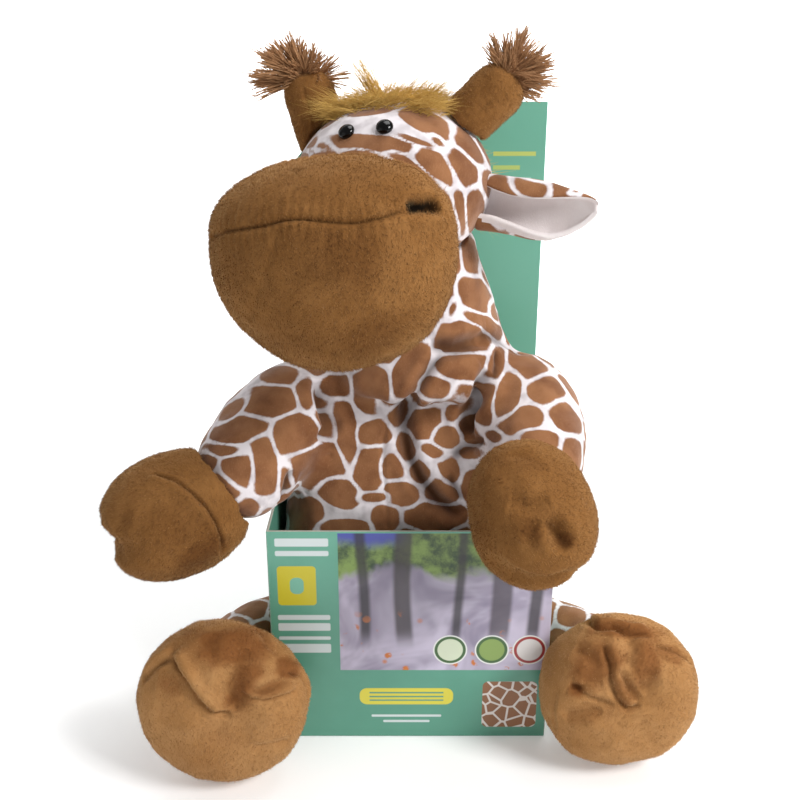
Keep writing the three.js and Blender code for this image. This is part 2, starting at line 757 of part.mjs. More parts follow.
// Zip and harness at the back
const STRAP_TOP = TORSO_BASE + TORSO_HEIGHT - NECK_SUNK - STRAP_UNDER_NECK;
const TORSO_BACK = PANEL_INSIDE - TORSO_EASE;
const POUCH_LOW = TORSO_BASE + POUCH_FLOOR_WALL;
const POUCH_HIGH = TORSO_BASE + TORSO_HEIGHT - POUCH_TOP_WALL;
const ZIP_LOW = POUCH_LOW + ZIP_END;
const ZIP_HIGH = POUCH_HIGH - ZIP_END;
const ZIP_PULL_BACK = PANEL_INSIDE - GAP;
const ZIP_TEETH_BACK = ZIP_PULL_BACK - ZIP_PULL - GAP;
const ZIP_TAPE_BACK = ZIP_TEETH_BACK - ZIP_TEETH / 2;
const WEBBING_BACK = BOX_DEPTH / 2 + GAP + STRAP / 2;
const CHEST_STRAP_HEIGHT = STRAP_TOP - CHEST_STRAP_UNDER_TOP;

function zipper() {
  const tape = block(
    V(-ZIP_TAPE_WIDTH / 2, ZIP_TAPE_BACK - ZIP_TAPE, POUCH_LOW),
    V(ZIP_TAPE_WIDTH / 2, ZIP_TAPE_BACK, POUCH_HIGH),
  );
  const teeth = block(
    V(-ZIP_TEETH_WIDTH / 2, ZIP_TEETH_BACK - ZIP_TEETH, ZIP_LOW),
    V(ZIP_TEETH_WIDTH / 2, ZIP_TEETH_BACK, ZIP_HIGH),
  );
  return solidOf(tape).add(solidOf(teeth));
}

function zipPull() {
  return solidOf(block(
    V(-ZIP_PULL_WIDTH / 2, ZIP_PULL_BACK - ZIP_PULL, ZIP_HIGH - ZIP_PULL_LENGTH),
    V(ZIP_PULL_WIDTH / 2, ZIP_PULL_BACK, ZIP_HIGH),
  ));
}

function shoulderStrap(side) {
  const inside = PANEL_INSIDE - GAP - STRAP / 2;
  return webbing([
    [inside, STRAP_TOP - STRAP_TAB],
    [inside, STRAP_TOP],
    [WEBBING_BACK, STRAP_TOP],
    [WEBBING_BACK, STRAP_BOTTOM],
    [inside, STRAP_BOTTOM],
    [inside, STRAP_BOTTOM + STRAP_TAB],
  ], STRAP_WIDTH, (SIDES[side] * STRAP_SPREAD) / 2);
}

function buckle() {
  const back = WEBBING_BACK + STRAP / 2 + GAP;
  const across = BUCKLE_LENGTH / 2 - BUCKLE_EDGE;
  const high = BUCKLE_WIDTH / 2 - BUCKLE_EDGE;
  const body = new THREE.ExtrudeGeometry(
    new THREE.Shape([[-across, -high], [across, -high], [across, high], [-across, high]]
      .map(([x, z]) => new THREE.Vector2(x, z))),
    {
      depth: BUCKLE_THICKNESS - 2 * BUCKLE_EDGE,
      bevelThickness: BUCKLE_EDGE,
      bevelSize: BUCKLE_EDGE,
      bevelSegments: 2,
    },
  );
  return solidOf(body.rotateX(Math.PI / 2)
    .translate(0, back + BUCKLE_THICKNESS - BUCKLE_EDGE, CHEST_STRAP_HEIGHT));
}

// Each half of the chest strap runs from a shoulder strap into the buckle
function chestStrap(side) {
  const s = SIDES[side];
  const back = WEBBING_BACK + STRAP / 2 + GAP;
  const inner = s * (BUCKLE_LENGTH / 2 + GAP);
  const outer = s * (STRAP_SPREAD / 2 + STRAP_WIDTH / 2);
  return solidOf(block(
    V(Math.min(inner, outer), back, CHEST_STRAP_HEIGHT - CHEST_STRAP_WIDTH / 2),
    V(Math.max(inner, outer), back + STRAP, CHEST_STRAP_HEIGHT + CHEST_STRAP_WIDTH / 2),
  ));
}

// Assembly: each soft piece is cut by the room of the pieces that it is sewn to or pressed against
const sideNames = Object.keys(SIDES);
const onBothSides = (make) => Object.fromEntries(sideNames.map((side) => [side, make(side)]));

const object = new THREE.Group();

function addPiece(name, solid, look) {
  const mesh = new THREE.Mesh(geometryOf(solid), new THREE.MeshStandardMaterial(LOOKS[look]));
  mesh.name = name;
  object.add(mesh);
}

const seated = (skinGeometry, ...rooms) => (
  rooms.reduce((left, taken) => left.subtract(taken), solidOf(skinGeometry))
);

const torsoSurface = torsoSkin(24, 18);
const torsoRoom = room(torsoSurface);
const headRoom = room(headSkin());
const neckRoom = room(neckSkin());
const armRooms = onBothSides((side) => room(armSkin(side)));
const legRooms = onBothSides((side) => room(legSkin(side)));
const earRooms = onBothSides((side) => room(earSkin(side)));
const hornRooms = onBothSides((side) => room(hornSkin(side)));
const trayRoom = solidOf(block(
  V(-BOX_WIDTH / 2 - GAP, FRONT_FACE - GAP, -GAP),
  V(BOX_WIDTH / 2 + GAP, BOX_DEPTH / 2 + GAP, TRAY_HEIGHT + GAP),
));
const panelRoom = solidOf(block(
  V(-BOX_WIDTH, PANEL_INSIDE - GAP, 0),
  V(BOX_WIDTH, BOX_DEPTH, PANEL_HEIGHT + BOX_DEPTH),
));

// The torso's bag, hollowed by the pouch, its mouth, and the seats of the zip and of the strap ends
function torso() {
  const pouchBack = TORSO_BACK - POUCH_BACK_WALL;
  const pouch = block(
    V(POUCH_SIDE_WALL - TORSO_HALF_WIDTH, POUCH_FRONT_WALL - TORSO_HALF_DEPTH, POUCH_LOW),
    V(TORSO_HALF_WIDTH - POUCH_SIDE_WALL, pouchBack, POUCH_HIGH),
  );
  const mouth = block(
    V(-ZIP_SLOT_WIDTH / 2, pouchBack - GAP, ZIP_LOW),
    V(ZIP_SLOT_WIDTH / 2, PANEL_INSIDE, ZIP_HIGH),
  );
  const zipSeat = block(
    V(-ZIP_TAPE_WIDTH / 2 - GAP, ZIP_TAPE_BACK - ZIP_TAPE - GAP, POUCH_LOW - GAP),
    V(ZIP_TAPE_WIDTH / 2 + GAP, PANEL_INSIDE, POUCH_HIGH + GAP),
  );
  const hollows = [pouch, mouth, zipSeat];
  for (const side of sideNames) {
    const x = (SIDES[side] * STRAP_SPREAD) / 2;
    const half = STRAP_WIDTH / 2 + GAP;
    const seatFront = PANEL_INSIDE - GAP - STRAP - GAP;
    for (const low of [STRAP_TOP - STRAP_TAB, STRAP_BOTTOM]) {
      hollows.push(block(
        V(x - half, seatFront, low - STRAP), V(x + half, PANEL_INSIDE, low + STRAP_TAB + STRAP),
      ));
    }
  }
  return hollows.reduce((left, hollow) => left.subtract(solidOf(hollow)), solidOf(torsoSurface));
}

addPiece('display_box', displayBox(), 'card');
addPiece('torso', torso(), 'giraffe_plush');
addPiece('neck', seated(neckSkin(), torsoRoom, headRoom, panelRoom), 'giraffe_plush');
addPiece('head', solidOf(headSkin()), 'giraffe_plush');
addPiece('muzzle', seated(muzzleSkin(), headRoom), 'brown_plush');
const maneNeighbours = [headRoom, neckRoom, hornRooms.right, hornRooms.left, panelRoom];
addPiece('mane', seated(maneSkin(), ...maneNeighbours), 'golden_pile');
addPiece('zipper', zipper(), 'webbing');
addPiece('zip_pull', zipPull(), 'buckle');
addPiece('chest_buckle', buckle(), 'buckle');
for (const side of sideNames) {
  addPiece(`arm_${side}`, seated(armSkin(side), torsoRoom, neckRoom, headRoom), 'giraffe_plush');
  addPiece(`hoof_${side}`, seated(hoofSkin(side), armRooms[side], torsoRoom, trayRoom), 'brown_plush');
  addPiece(`leg_${side}`, seated(legSkin(side), torsoRoom), 'giraffe_plush');
  addPiece(`foot_${side}`, seated(footSkin(side), legRooms[side], trayRoom), 'brown_plush');
  addPiece(`eye_${side}`, seated(eyeSkin(side), headRoom), 'eye');
  addPiece(`ear_${side}`, seated(earSkin(side), headRoom), 'giraffe_plush');
  addPiece(`ear_lining_${side}`, seated(liningSkin(side), earRooms[side], headRoom), 'white_plush');
  addPiece(`horn_${side}`, seated(hornSkin(side), headRoom), 'brown_plush');
  addPiece(`tuft_${side}`, seated(tuftSkin(side), hornRooms[side]), 'tuft_pile');
  addPiece(`shoulder_strap_${side}`, solidOf(shoulderStrap(side)), 'webbing');
  addPiece(`chest_strap_${side}`, chestStrap(side), 'webbing');
}

export default object;
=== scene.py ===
# Looks of the plush giraffe backpack in its display box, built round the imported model.
# Metres, in the model's frame. Left and right are the giraffe's own, so its left is the viewer's right.
import math

import bmesh
import bpy
import numpy as np
from mathutils import Matrix, Vector
from mathutils.bvhtree import BVHTree


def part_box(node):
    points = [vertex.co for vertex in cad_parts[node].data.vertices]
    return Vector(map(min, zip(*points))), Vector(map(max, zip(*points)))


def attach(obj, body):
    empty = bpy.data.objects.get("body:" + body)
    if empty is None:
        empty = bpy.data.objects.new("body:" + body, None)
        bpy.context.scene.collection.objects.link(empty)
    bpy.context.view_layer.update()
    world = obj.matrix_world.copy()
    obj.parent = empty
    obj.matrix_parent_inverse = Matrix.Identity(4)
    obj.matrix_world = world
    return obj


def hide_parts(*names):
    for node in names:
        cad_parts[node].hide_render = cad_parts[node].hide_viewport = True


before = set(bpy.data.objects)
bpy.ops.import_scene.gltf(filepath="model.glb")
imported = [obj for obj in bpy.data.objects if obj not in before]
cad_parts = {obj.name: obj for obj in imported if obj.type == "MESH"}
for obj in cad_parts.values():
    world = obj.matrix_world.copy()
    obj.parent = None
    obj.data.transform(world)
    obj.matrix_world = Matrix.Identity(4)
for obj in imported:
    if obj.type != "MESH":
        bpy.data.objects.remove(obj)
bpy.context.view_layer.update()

MM = 0.001
SIDES = {"right": -1, "left": 1}

# Camera: a 45 mm lens a little above the box, tipped down
LENS = 45.0
SENSOR = 36.0
TIP = math.radians(20.4)
EYE = Vector((-0.0053, -0.4797, 0.3469))
FRAME_SIDE = 800
FOCUS = FRAME_SIDE * LENS / SENSOR


def make_camera():
    data = bpy.data.cameras.new("camera")
    data.lens = LENS
    data.sensor_width = SENSOR
    camera = bpy.data.objects.new("camera", data)
    camera.location = EYE
    camera.rotation_euler = (math.pi / 2 - TIP, 0, 0)
    bpy.context.scene.collection.objects.link(camera)
    bpy.context.scene.camera = camera


# Points of the frame in the picture, and back to a skin
def seen(points):
    """Across, down and depth in the picture of each point."""
    ahead = points - np.array(EYE)
    depth = ahead[:, 1] * math.cos(TIP) - ahead[:, 2] * math.sin(TIP)
    rise = ahead[:, 1] * math.sin(TIP) + ahead[:, 2] * math.cos(TIP)
    half = FRAME_SIDE / 2
    return half + FOCUS * ahead[:, 0] / depth, half - FOCUS * rise / depth, depth


def facing(points, normals):
    """1 where the skin faces the camera, 0 on its outline and less behind it."""
    toward = np.array(EYE) - points
    return np.einsum("ij,ij->i", toward, normals) / np.linalg.norm(toward, axis=1)


def sight(across, down):
    """The way from the camera through a mark of the picture."""
    a = (across - FRAME_SIDE / 2) / FOCUS
    b = (FRAME_SIDE / 2 - down) / FOCUS
    return Vector((a, math.cos(TIP) + b * math.sin(TIP), b * math.cos(TIP) - math.sin(TIP))).normalized()


MARK_STEP = 3.0
TOY_AWAY = 0.45


def charted(piece, marks):
    """A line laid on a piece's skin under marks of the picture. A mark past the outline takes the nearest
    point."""
    mesh = piece.data
    tree = BVHTree.FromPolygons([v.co for v in mesh.vertices], [p.vertices for p in mesh.polygons])
    marks = np.array(marks, float)
    line = []
    for start, end in zip(marks[:-1], marks[1:]):
        count = max(1, round(float(np.linalg.norm(end - start)) / MARK_STEP))
        line += [start + (end - start) * k / count for k in range(count)]
    line.append(marks[-1])
    found = []
    for across, down in line:
        toward = sight(across, down)
        spot = tree.ray_cast(EYE, toward)[0]
        if spot is None:
            reach = (found[-1] - EYE).length if found else TOY_AWAY
            spot = tree.find_nearest(EYE + toward * reach)[0]
        found.append(spot)
    return np.array([list(spot) for spot in found])


# Meshes: reading, writing and finishing
def points_of(piece):
    flat = np.empty(len(piece.data.vertices) * 3)
    piece.data.vertices.foreach_get("co", flat)
    return flat.reshape(-1, 3)


def normals_of(piece):
    flat = np.empty(len(piece.data.vertices) * 3)
    piece.data.vertex_normals.foreach_get("vector", flat)
    return flat.reshape(-1, 3)


def move_to(piece, points):
    piece.data.vertices.foreach_set("co", points.ravel())
    piece.data.update()


def push(piece, amount):
    """Moves each point along its normal."""
    move_to(piece, points_of(piece) + normals_of(piece) * np.asarray(amount).reshape(-1, 1))


def link(name, mesh):
    piece = bpy.data.objects.new(name, mesh)
    bpy.context.scene.collection.objects.link(piece)
    return piece


def modified(piece, kind, **settings):
    """Adds a modifier and applies it."""
    modifier = piece.modifiers.new(kind.lower(), kind)
    for key, value in settings.items():
        setattr(modifier, key, value)
    graph = bpy.context.evaluated_depsgraph_get()
    mesh = bpy.data.meshes.new_from_object(piece.evaluated_get(graph))
    piece.modifiers.clear()
    piece.data = mesh


def mark(piece, name, values):
    """Gives each point of a piece a value that its material reads."""
    attribute = piece.data.attributes.new(name, "FLOAT", "POINT")
    attribute.data.foreach_set("value", values.astype(np.float32))


def finished(piece, material, nodes=()):
    """Dresses a piece, attaches it to the root and hides the CAD nodes that it stands for."""
    piece.data.materials.clear()
    for finish in material if isinstance(material, list) else [material]:
        piece.data.materials.append(finish)
    piece.data.shade_smooth()
    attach(piece, "root")
    if nodes:
        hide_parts(*nodes)
    return piece


def from_bmesh(name, made):
    mesh = bpy.data.meshes.new(name)
    made.to_mesh(mesh)
    made.free()
    return link(name, mesh)


WELD = 0.02 * MM


def merged(*nodes):
    """The skins of CAD nodes in one bmesh, with their double points joined."""
    made = bmesh.new()
    for node in nodes:
        made.from_mesh(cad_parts[node].data)
    bmesh.ops.remove_doubles(made, verts=made.verts, dist=WELD)
    return made


# Noise and lines for the folds of cloth
LATTICE = 32


def grain(points, size, seed):
    """Smooth noise from -1 to 1, with grains of a size."""
    lattice = np.random.default_rng(seed).uniform(-1, 1, (LATTICE, LATTICE, LATTICE))
    cell = points / size + seed * 7.3
    base = np.floor(cell).astype(int)
    share = cell - base
    share = share * share * (3 - 2 * share)
    total = np.zeros(len(points))
    for i in (0, 1):
        for j in (0, 1):
            for k in (0, 1):
                weight = np.ones(len(points))
                for axis, corner in enumerate((i, j, k)):
                    weight *= share[:, axis] if corner else 1 - share[:, axis]
                total += weight * lattice[tuple(((base + (i, j, k)) % LATTICE).T)]
    return total


def near_line(points, line, normals=None):
    """Distance of each point from a line, the length along the line where it is nearest, and the line's
    length. With normals, also the side of the line that the point is on."""
    best = np.full(len(points), 1e9)
    place = np.zeros(len(points))
    side = np.zeros(len(points))
    run = 0.0
    for start, end in zip(line[:-1], line[1:]):
        step = end - start
        length = float(np.linalg.norm(step)) or 1e-9
        share = np.clip((points - start) @ step / length**2, 0, 1)
        off = points - (start + share[:, None] * step)
        away = np.linalg.norm(off, axis=1)
        closer = away < best
        best = np.where(closer, away, best)
        place = np.where(closer, run + share * length, place)
        if normals is not None:
            beside = np.einsum("ij,ij->i", np.cross(step / length, off), normals)
            side = np.where(closer, beside, side)
        run += length
    return (best, place, run) if normals is None else (best, place, run, side)


def fade(place, run, ends):
    """1 along a line, falling to 0 over a length at its two ends."""
    return np.clip(np.minimum(place, run - place) / ends, 0, 1) ** 0.5


def stitched(piece, line):
    """Numbers of the skin's points nearest to a line, which stay with the cloth when it moves."""
    points = points_of(piece)
    return [int(np.argmin(np.sum((points - place) ** 2, axis=1))) for place in line[::2]]


LIP_PLACE = 2.0
LAP_EDGE = 0.8 * MM
LAP_REACH = 6.0 * MM
SEAM_END = 2 * MM


def fold(piece, marks, width, depth, lip=0.3, ends=6 * MM, lap=0.0):
    """A valley pressed into the cloth under marks of the picture, with raised lips. lap lifts the cloth on
    one side of the line over the cloth on the other. Returns the line's stitches."""
    line = charted(piece, marks)
    stitches = stitched(piece, line)
    away, place, run, side = near_line(points_of(piece), line, normals_of(piece))
    near = away / width
    valley = np.exp(-(near**2)) - lip * np.exp(-((near - LIP_PLACE) ** 2))
    over = lap * np.tanh(side / LAP_EDGE) * np.exp(-((away / LAP_REACH) ** 2))
    push(piece, (over - depth * valley) * fade(place, run, ends))
    return stitches


def seam(piece, marks, width=1.1 * MM, depth=1.2 * MM, pitch=4.2 * MM, pucker=0.35 * MM, reach=5 * MM):
    """A seam under marks of the picture. Returns the line's stitches."""
    line = charted(piece, marks)
    stitches = stitched(piece, line)
    sew(piece, line, width, depth, pitch, pucker, reach)
    return stitches


def sew(piece, line, width, depth, pitch, pucker, reach):
    """A sewn line: a narrow groove with small puckers that die out beside it."""
    away, place, run = near_line(points_of(piece), line)
    groove = depth * np.exp(-((away / width) ** 2))
    wave = pucker * np.cos(2 * math.pi * place / pitch)
    gathers = wave * np.exp(-away / reach) * (1 - np.exp(-away / width))
    push(piece, (gathers - groove) * fade(place, run, SEAM_END))


PRESSURE = 4.0
CLOTH_MASS = 0.3
CLOTH_QUALITY = 5
CLOTH_FRAMES = 20
HELD_WIDTH = 2.5 * MM


def swell(piece, cap, held=(), slack=0.0):
    """Blows the cloth up like stuffing, held along its sewn lines, and keeps each point within cap of where
    it was."""
    rest = points_of(piece)
    cloth = piece.modifiers.new("stuffing", "CLOTH")
    settings = cloth.settings
    if len(held):
        pinned = np.zeros(len(rest), bool)
        for line in held:
            pinned |= near_line(rest, line)[0] < HELD_WIDTH
        group = piece.vertex_groups.new(name="held")
        group.add([int(i) for i in np.flatnonzero(pinned)], 1.0, "REPLACE")
        settings.vertex_group_mass = "held"
    settings.quality = CLOTH_QUALITY
    settings.mass = CLOTH_MASS
    settings.use_pressure = True
    settings.uniform_pressure_force = PRESSURE
    settings.shrink_min = -slack
    settings.effector_weights.gravity = 0
    cloth.collision_settings.use_collision = False
    cloth.point_cache.frame_start = 1
    cloth.point_cache.frame_end = CLOTH_FRAMES
    scene = bpy.context.scene
    for step in range(1, CLOTH_FRAMES + 1):
        scene.frame_set(step)
    swollen = piece.evaluated_get(bpy.context.evaluated_depsgraph_get())
    flat = np.empty(len(rest) * 3)
    swollen.data.vertices.foreach_get("co", flat)
    moved = flat.reshape(-1, 3) - rest
    piece.modifiers.remove(cloth)
    piece.vertex_groups.clear()
    scene.frame_set(1)
    length = np.maximum(np.linalg.norm(moved, axis=1, keepdims=True), 1e-9)
    move_to(piece, rest + moved / length * cap * np.tanh(length / cap))


def stuffed(name, nodes, voxel, inset=1.0 * MM, smoothing=4, cap=2.2 * MM, levels=1, marks=(), slack=0.0):
    """A stuffed skin over CAD nodes: remeshed, blown up between its sewn lines, then made fine."""
    piece = from_bmesh(name, merged(*nodes))
    modified(piece, "REMESH", mode="VOXEL", voxel_size=voxel)
    modified(piece, "SMOOTH", factor=0.5, iterations=smoothing)
    push(piece, -inset)
    held = [charted(piece, line) for line in marks]
    swell(piece, cap, held, slack)
    modified(piece, "SUBSURF", levels=levels, render_levels=levels)
    return piece


# Shader maths: an expression on values adds its nodes
def operator(operation, reflected=False):
    def applied(value, other):
        pair = (other, value) if reflected else (value, other)
        return value.through(operation, *pair)

    return applied


class Value:
    """A socket of a material that takes part in expressions."""

    def __init__(self, paint, socket):
        self.paint = paint
        self.socket = socket

    def through(self, operation, *inputs):
        node = self.paint.node("ShaderNodeMath", {"operation": operation}, dict(enumerate(inputs)))
        return Value(self.paint, node.outputs[0])

    def __abs__(self):
        return self.through("ABSOLUTE", self)

    def wave(self):
        return self.through("SINE", self)

    def part(self):
        """What is left of a value past its whole number."""
        return self.through("FRACT", self)

    __add__ = operator("ADD")
    __radd__ = operator("ADD", reflected=True)
    __sub__ = operator("SUBTRACT")
    __rsub__ = operator("SUBTRACT", reflected=True)
    __mul__ = operator("MULTIPLY")
    __rmul__ = operator("MULTIPLY", reflected=True)
    __pow__ = operator("POWER")
    __lt__ = operator("LESS_THAN")
    most = operator("MAXIMUM")
    least = operator("MINIMUM")


def linear(colour):
    """Linear colour of red, green and blue from 0 to 255."""
    shares = [c / 255 for c in colour]
    straight = 10 / 255
    return tuple(s / 12.92 if s <= straight else ((s + 0.055) / 1.055) ** 2.4 for s in shares) + (1.0,)


class Paint:
    """A material, and the one way that its nodes are made."""

    def __init__(self, name, **constants):
        self.material = bpy.data.materials.new(name)
        self.material.use_nodes = True
        self.tree = self.material.node_tree
        self.shader = self.tree.nodes["Principled BSDF"]
        for key, value in constants.items():
            self.shader.inputs[key.replace("_", " ")].default_value = value
        self.spot = self.node("ShaderNodeTexCoord").outputs["Object"]

    def node(self, kind, settings=None, inputs=None):
        made = self.tree.nodes.new(kind)
        for key, value in (settings or {}).items():
            setattr(made, key, value)
        for key, value in (inputs or {}).items():
            if isinstance(value, Value):
                value = value.socket
            if isinstance(value, bpy.types.NodeSocket):
                self.tree.links.new(value, made.inputs[key])
            else:
                made.inputs[key].default_value = value
        return made

    def axes(self):
        """The point's three coordinates in mm."""
        parts = self.node("ShaderNodeSeparateXYZ", None, {0: self.spot}).outputs
        return [Value(self, part) * 1000.0 for part in parts]

    def placed(self, scale, turn=(0, 0, 0)):
        inputs = {"Vector": self.spot, "Scale": scale, "Rotation": turn}
        return self.node("ShaderNodeMapping", None, inputs).outputs[0]

    def noise(self, scale, detail=2.0, roughness=0.5, vector=None, warp=0.0):
        inputs = {"Vector": vector or self.spot, "Scale": scale, "Detail": detail, "Roughness": roughness,
                  "Distortion": warp}
        return Value(self, self.node("ShaderNodeTexNoise", None, inputs).outputs["Fac"])

    def cells(self, scale, feature="F1"):
        made = self.node("ShaderNodeTexVoronoi", {"feature": feature}, {"Vector": self.spot, "Scale": scale})
        return Value(self, made.outputs["Distance"])

    def mark(self, name):
        """A value that the piece's points carry."""
        return Value(self, self.node("ShaderNodeAttribute", {"attribute_name": name}).outputs["Fac"])

    def ramp(self, value, low, high, smooth=True):
        """0 below low, 1 above high."""
        kind = {"interpolation_type": "SMOOTHSTEP" if smooth else "LINEAR", "clamp": True}
        inputs = {"Value": value, "From Min": low, "From Max": high}
        return Value(self, self.node("ShaderNodeMapRange", kind, inputs).outputs[0])

    def blend(self, under, over, share):
        """The colour under, covered by the colour over where share is 1."""
        inputs = {0: share, 6: under, 7: over}
        return self.node("ShaderNodeMix", {"data_type": "RGBA"}, inputs).outputs[2]

    def feed(self, **inputs):
        """Links values to the shader's sockets."""
        for key, value in inputs.items():
            socket = value.socket if isinstance(value, Value) else value
            self.tree.links.new(socket, self.shader.inputs[key.replace("_", " ")])

    def bump(self, height, strength, distance):
        inputs = {"Height": height, "Strength": strength, "Distance": distance}
        return self.node("ShaderNodeBump", None, inputs).outputs[0]


# Plush: short pile in streaks along its nap, with painted shade where the pile lies toward the camera and in
# the folds
PILE_BUMP = 0.4 * MM
# Share of the dark colour that the painted shade of folds keeps
FOLD_SHADE_SHARE = 0.16
PRINT_BROWNS = {"dark": (112, 70, 43), "mid": (148, 102, 68), "worn": (180, 136, 100)}
PRINT_PALES = {"shaded": (196, 189, 192), "clean": (228, 222, 225)}
# Colour of the painted shade in the depths of the print's folds
FOLD_SHADE_COLOUR = (36, 21, 15)


def pile_heights(paint):
    """Fine tips of the pile in streaks along its nap, and soft patches, used in the plush's painted shade
    too.
    """
    streaks = paint.noise(1.0, 3.0, 0.65, paint.placed((2300, 1500, 760), (0.5, 0.3, 0.2)), 0.4)
    tips = paint.noise(1.0, 2.0, 0.6, paint.placed((3600, 3600, 2600)))
    brushed_and_shade = paint.noise(120.0, 2.0, 0.55)
    return streaks, tips, brushed_and_shade


def plush_material(name, dark, mid, light, sheen_tint, sheen):
    paint = Paint(name, Roughness=0.95, Sheen_Weight=sheen, Sheen_Roughness=0.35,
                  Sheen_Tint=linear(sheen_tint), Specular_IOR_Level=0.08)
    streaks, tips, soft = pile_heights(paint)
    lie = paint.noise(34.0, 2.0, 0.5, warp=0.6)
    colour = paint.blend(linear(mid), linear(light), paint.ramp(lie * 0.6 + soft * 0.4, 0.4, 0.68) * 0.45)
    # Painted shade: darker where the skin is marked as shaded pile, broken up by the streaks and soft patches
    toward = paint.ramp(paint.mark("brushed_and_shade") + (streaks - 0.5) * 0.5 + (soft - 0.5) * 0.4, 0.0, 0.95)
    colour = paint.blend(colour, linear(dark), toward * 0.9)
    colour = paint.blend(colour, linear(light), paint.ramp(streaks * 0.55 + tips * 0.45, 0.5, 0.75) * 0.4)
    # Painted shade in the depths of folds, a share of the dark colour
    deep = linear([c * FOLD_SHADE_SHARE for c in dark])
    colour = paint.blend(colour, deep, paint.ramp(paint.mark("fold_shade"), 0.0, 0.8))
    paint.feed(Base_Color=colour, Normal=paint.bump(streaks + tips * 0.6, 0.5, PILE_BUMP))
    return paint.material


def giraffe_material():
    paint = Paint("giraffe_plush", Roughness=0.92, Sheen_Weight=0.3, Sheen_Roughness=0.45,
                  Sheen_Tint=linear((250, 244, 240)), Specular_IOR_Level=0.12)
    streaks, tips, brushed_and_shade = pile_heights(paint)
    inside = paint.mark("spot") + (paint.noise(420.0, 3.0) - 0.5) * 0.9 + (streaks - 0.5) * 0.35
    spot = paint.ramp(inside, -0.45, 0.45)
    patch = paint.ramp(paint.noise(46.0, 2.0), 0.35, 0.65)
    dark, mid, worn = (linear(tone) for tone in PRINT_BROWNS.values())
    shaded, clean = (linear(tone) for tone in PRINT_PALES.values())
    brown = paint.blend(dark, mid, patch * 0.7 + paint.ramp(brushed_and_shade, 0.3, 0.6) * 0.3)
    brown = paint.blend(brown, worn, paint.ramp(streaks * 0.6 + tips * 0.4, 0.5, 0.75) * 0.5)
    white = paint.blend(shaded, clean, paint.ramp(brushed_and_shade, 0.3, 0.6))
    colour = paint.blend(white, brown, spot)
    # Painted shade in the depths of folds
    colour = paint.blend(colour, linear(FOLD_SHADE_COLOUR), paint.mark("fold_shade") * 0.8)
    paint.feed(Base_Color=colour, Normal=paint.bump(streaks + tips * 0.6, 0.45, PILE_BUMP))
    return paint.material


# Spots of the print: across, down, half length, half width and turn in degrees, as marks of the picture
HEAD_SPOTS = [
    (371, 144, 37, 7.5, 4), (372, 111, 22, 3.2, -8), (428, 123, 26, 8.5, 27), (469, 147, 22, 8, 48),
    (463, 167, 18, 12, 55), (437, 165, 22, 10, 42), (438, 142, 9, 4, 50), (419, 142, 21, 3, 18),
    (413, 172, 32, 7, 40), (461, 213, 22, 5, 82), (474, 213, 21, 8, 95), (489, 182, 14, 7, 75),
    (305, 151, 18, 3, 0), (447, 205, 18, 5, 70), (330, 112, 8, 3, -20),
]
BODY_SPOTS = [
    (471, 257, 17, 8, 75), (476, 294, 17, 14, 35), (490, 281, 16, 4.5, 65), (498, 311, 12, 6, 70),
    (452, 308, 10, 5, 110), (490, 326, 25, 6, 30), (462, 338, 26, 13, 10), (410, 368, 31, 12, 112),
    (371, 388, 21, 17, 60), (337, 386, 14, 12, 0), (345, 430, 30, 10, 78), (374, 434, 17, 11, -25),
    (369, 467, 21, 13, 92), (391, 467, 12, 11, 0), (338, 491, 19, 12, 25), (315, 465, 25, 20, -10),
    (376, 497, 15, 4.5, 0), (401, 495, 16, 11, 15), (387, 520, 13, 13, 0), (435, 517, 29, 13, 0),
    (343, 528, 24, 7, 0), (301, 516, 18, 17, 0), (399, 414, 14, 10, -60), (423, 421, 19, 15, -60),
    (406, 447, 16, 8, 85), (419, 472, 12, 8, 50), (434, 451, 14, 5.5, 30), (446, 437, 12, 10.5, 0),
    (449, 468, 13, 8, 70), (441, 494, 15, 11, 30), (472, 452, 11, 5.5, 0), (457, 408, 14, 8.5, -50),
    (437, 388, 16, 9.5, 5), (464, 366, 21, 13, -10), (495, 363, 15, 8, 100), (528, 361, 18, 13, 40),
    (546, 391, 15, 12.5, 30), (507, 397, 21, 10, 105), (564, 418, 18, 9.5, 50), (519, 422, 20, 11, -20),
    (538, 438, 19, 7, 12), (573, 453, 16, 8.5, 70), (493, 436, 11, 6, 20), (486, 405, 23, 8, 95),
    (472, 430, 17, 10, 60), (283, 377, 18, 8, 0), (270, 402, 23, 14, -10), (239, 430, 25, 12, -15),
    (306, 393, 17, 9, 70), (298, 436, 21, 19, 0), (262, 464, 25, 13, 85), (224, 451, 25, 7, 5),
    (325, 420, 17, 9.5, 60), (233, 409, 17, 5, -40), (286, 480, 15, 6, 95), (273, 520, 15, 10, 0),
    (320, 400, 14, 8, 60),
]
EAR_SPOTS = [(530, 187, 23, 8, 12), (575, 191, 9, 3.5, -15), (520, 222, 22, 9, 30), (496, 220, 12, 8, 60)]
EYE_FIELD = [(352, 126, 74, 22, -10), (395, 128, 30, 18, 12)]
# The pale lines' half width, how far a spot may reach past its oval, and how sharply its corners turn
LINE_HALF = 0.85
SPOT_REACH = 1.3
SPOT_SHARP = 0.4
SEEN_EDGE = 0.12
BLANK_RIM = 1.25


def scattered(points, free, spacing, draw):
    """Middles of further spots, on free points and no two closer than the spacing."""
    middles = []
    for i in draw.permutation(np.flatnonzero(free)):
        if free[i]:
            middles.append(points[i])
            free &= np.sum((points - points[i]) ** 2, axis=1) > (spacing * MM) ** 2
    return middles


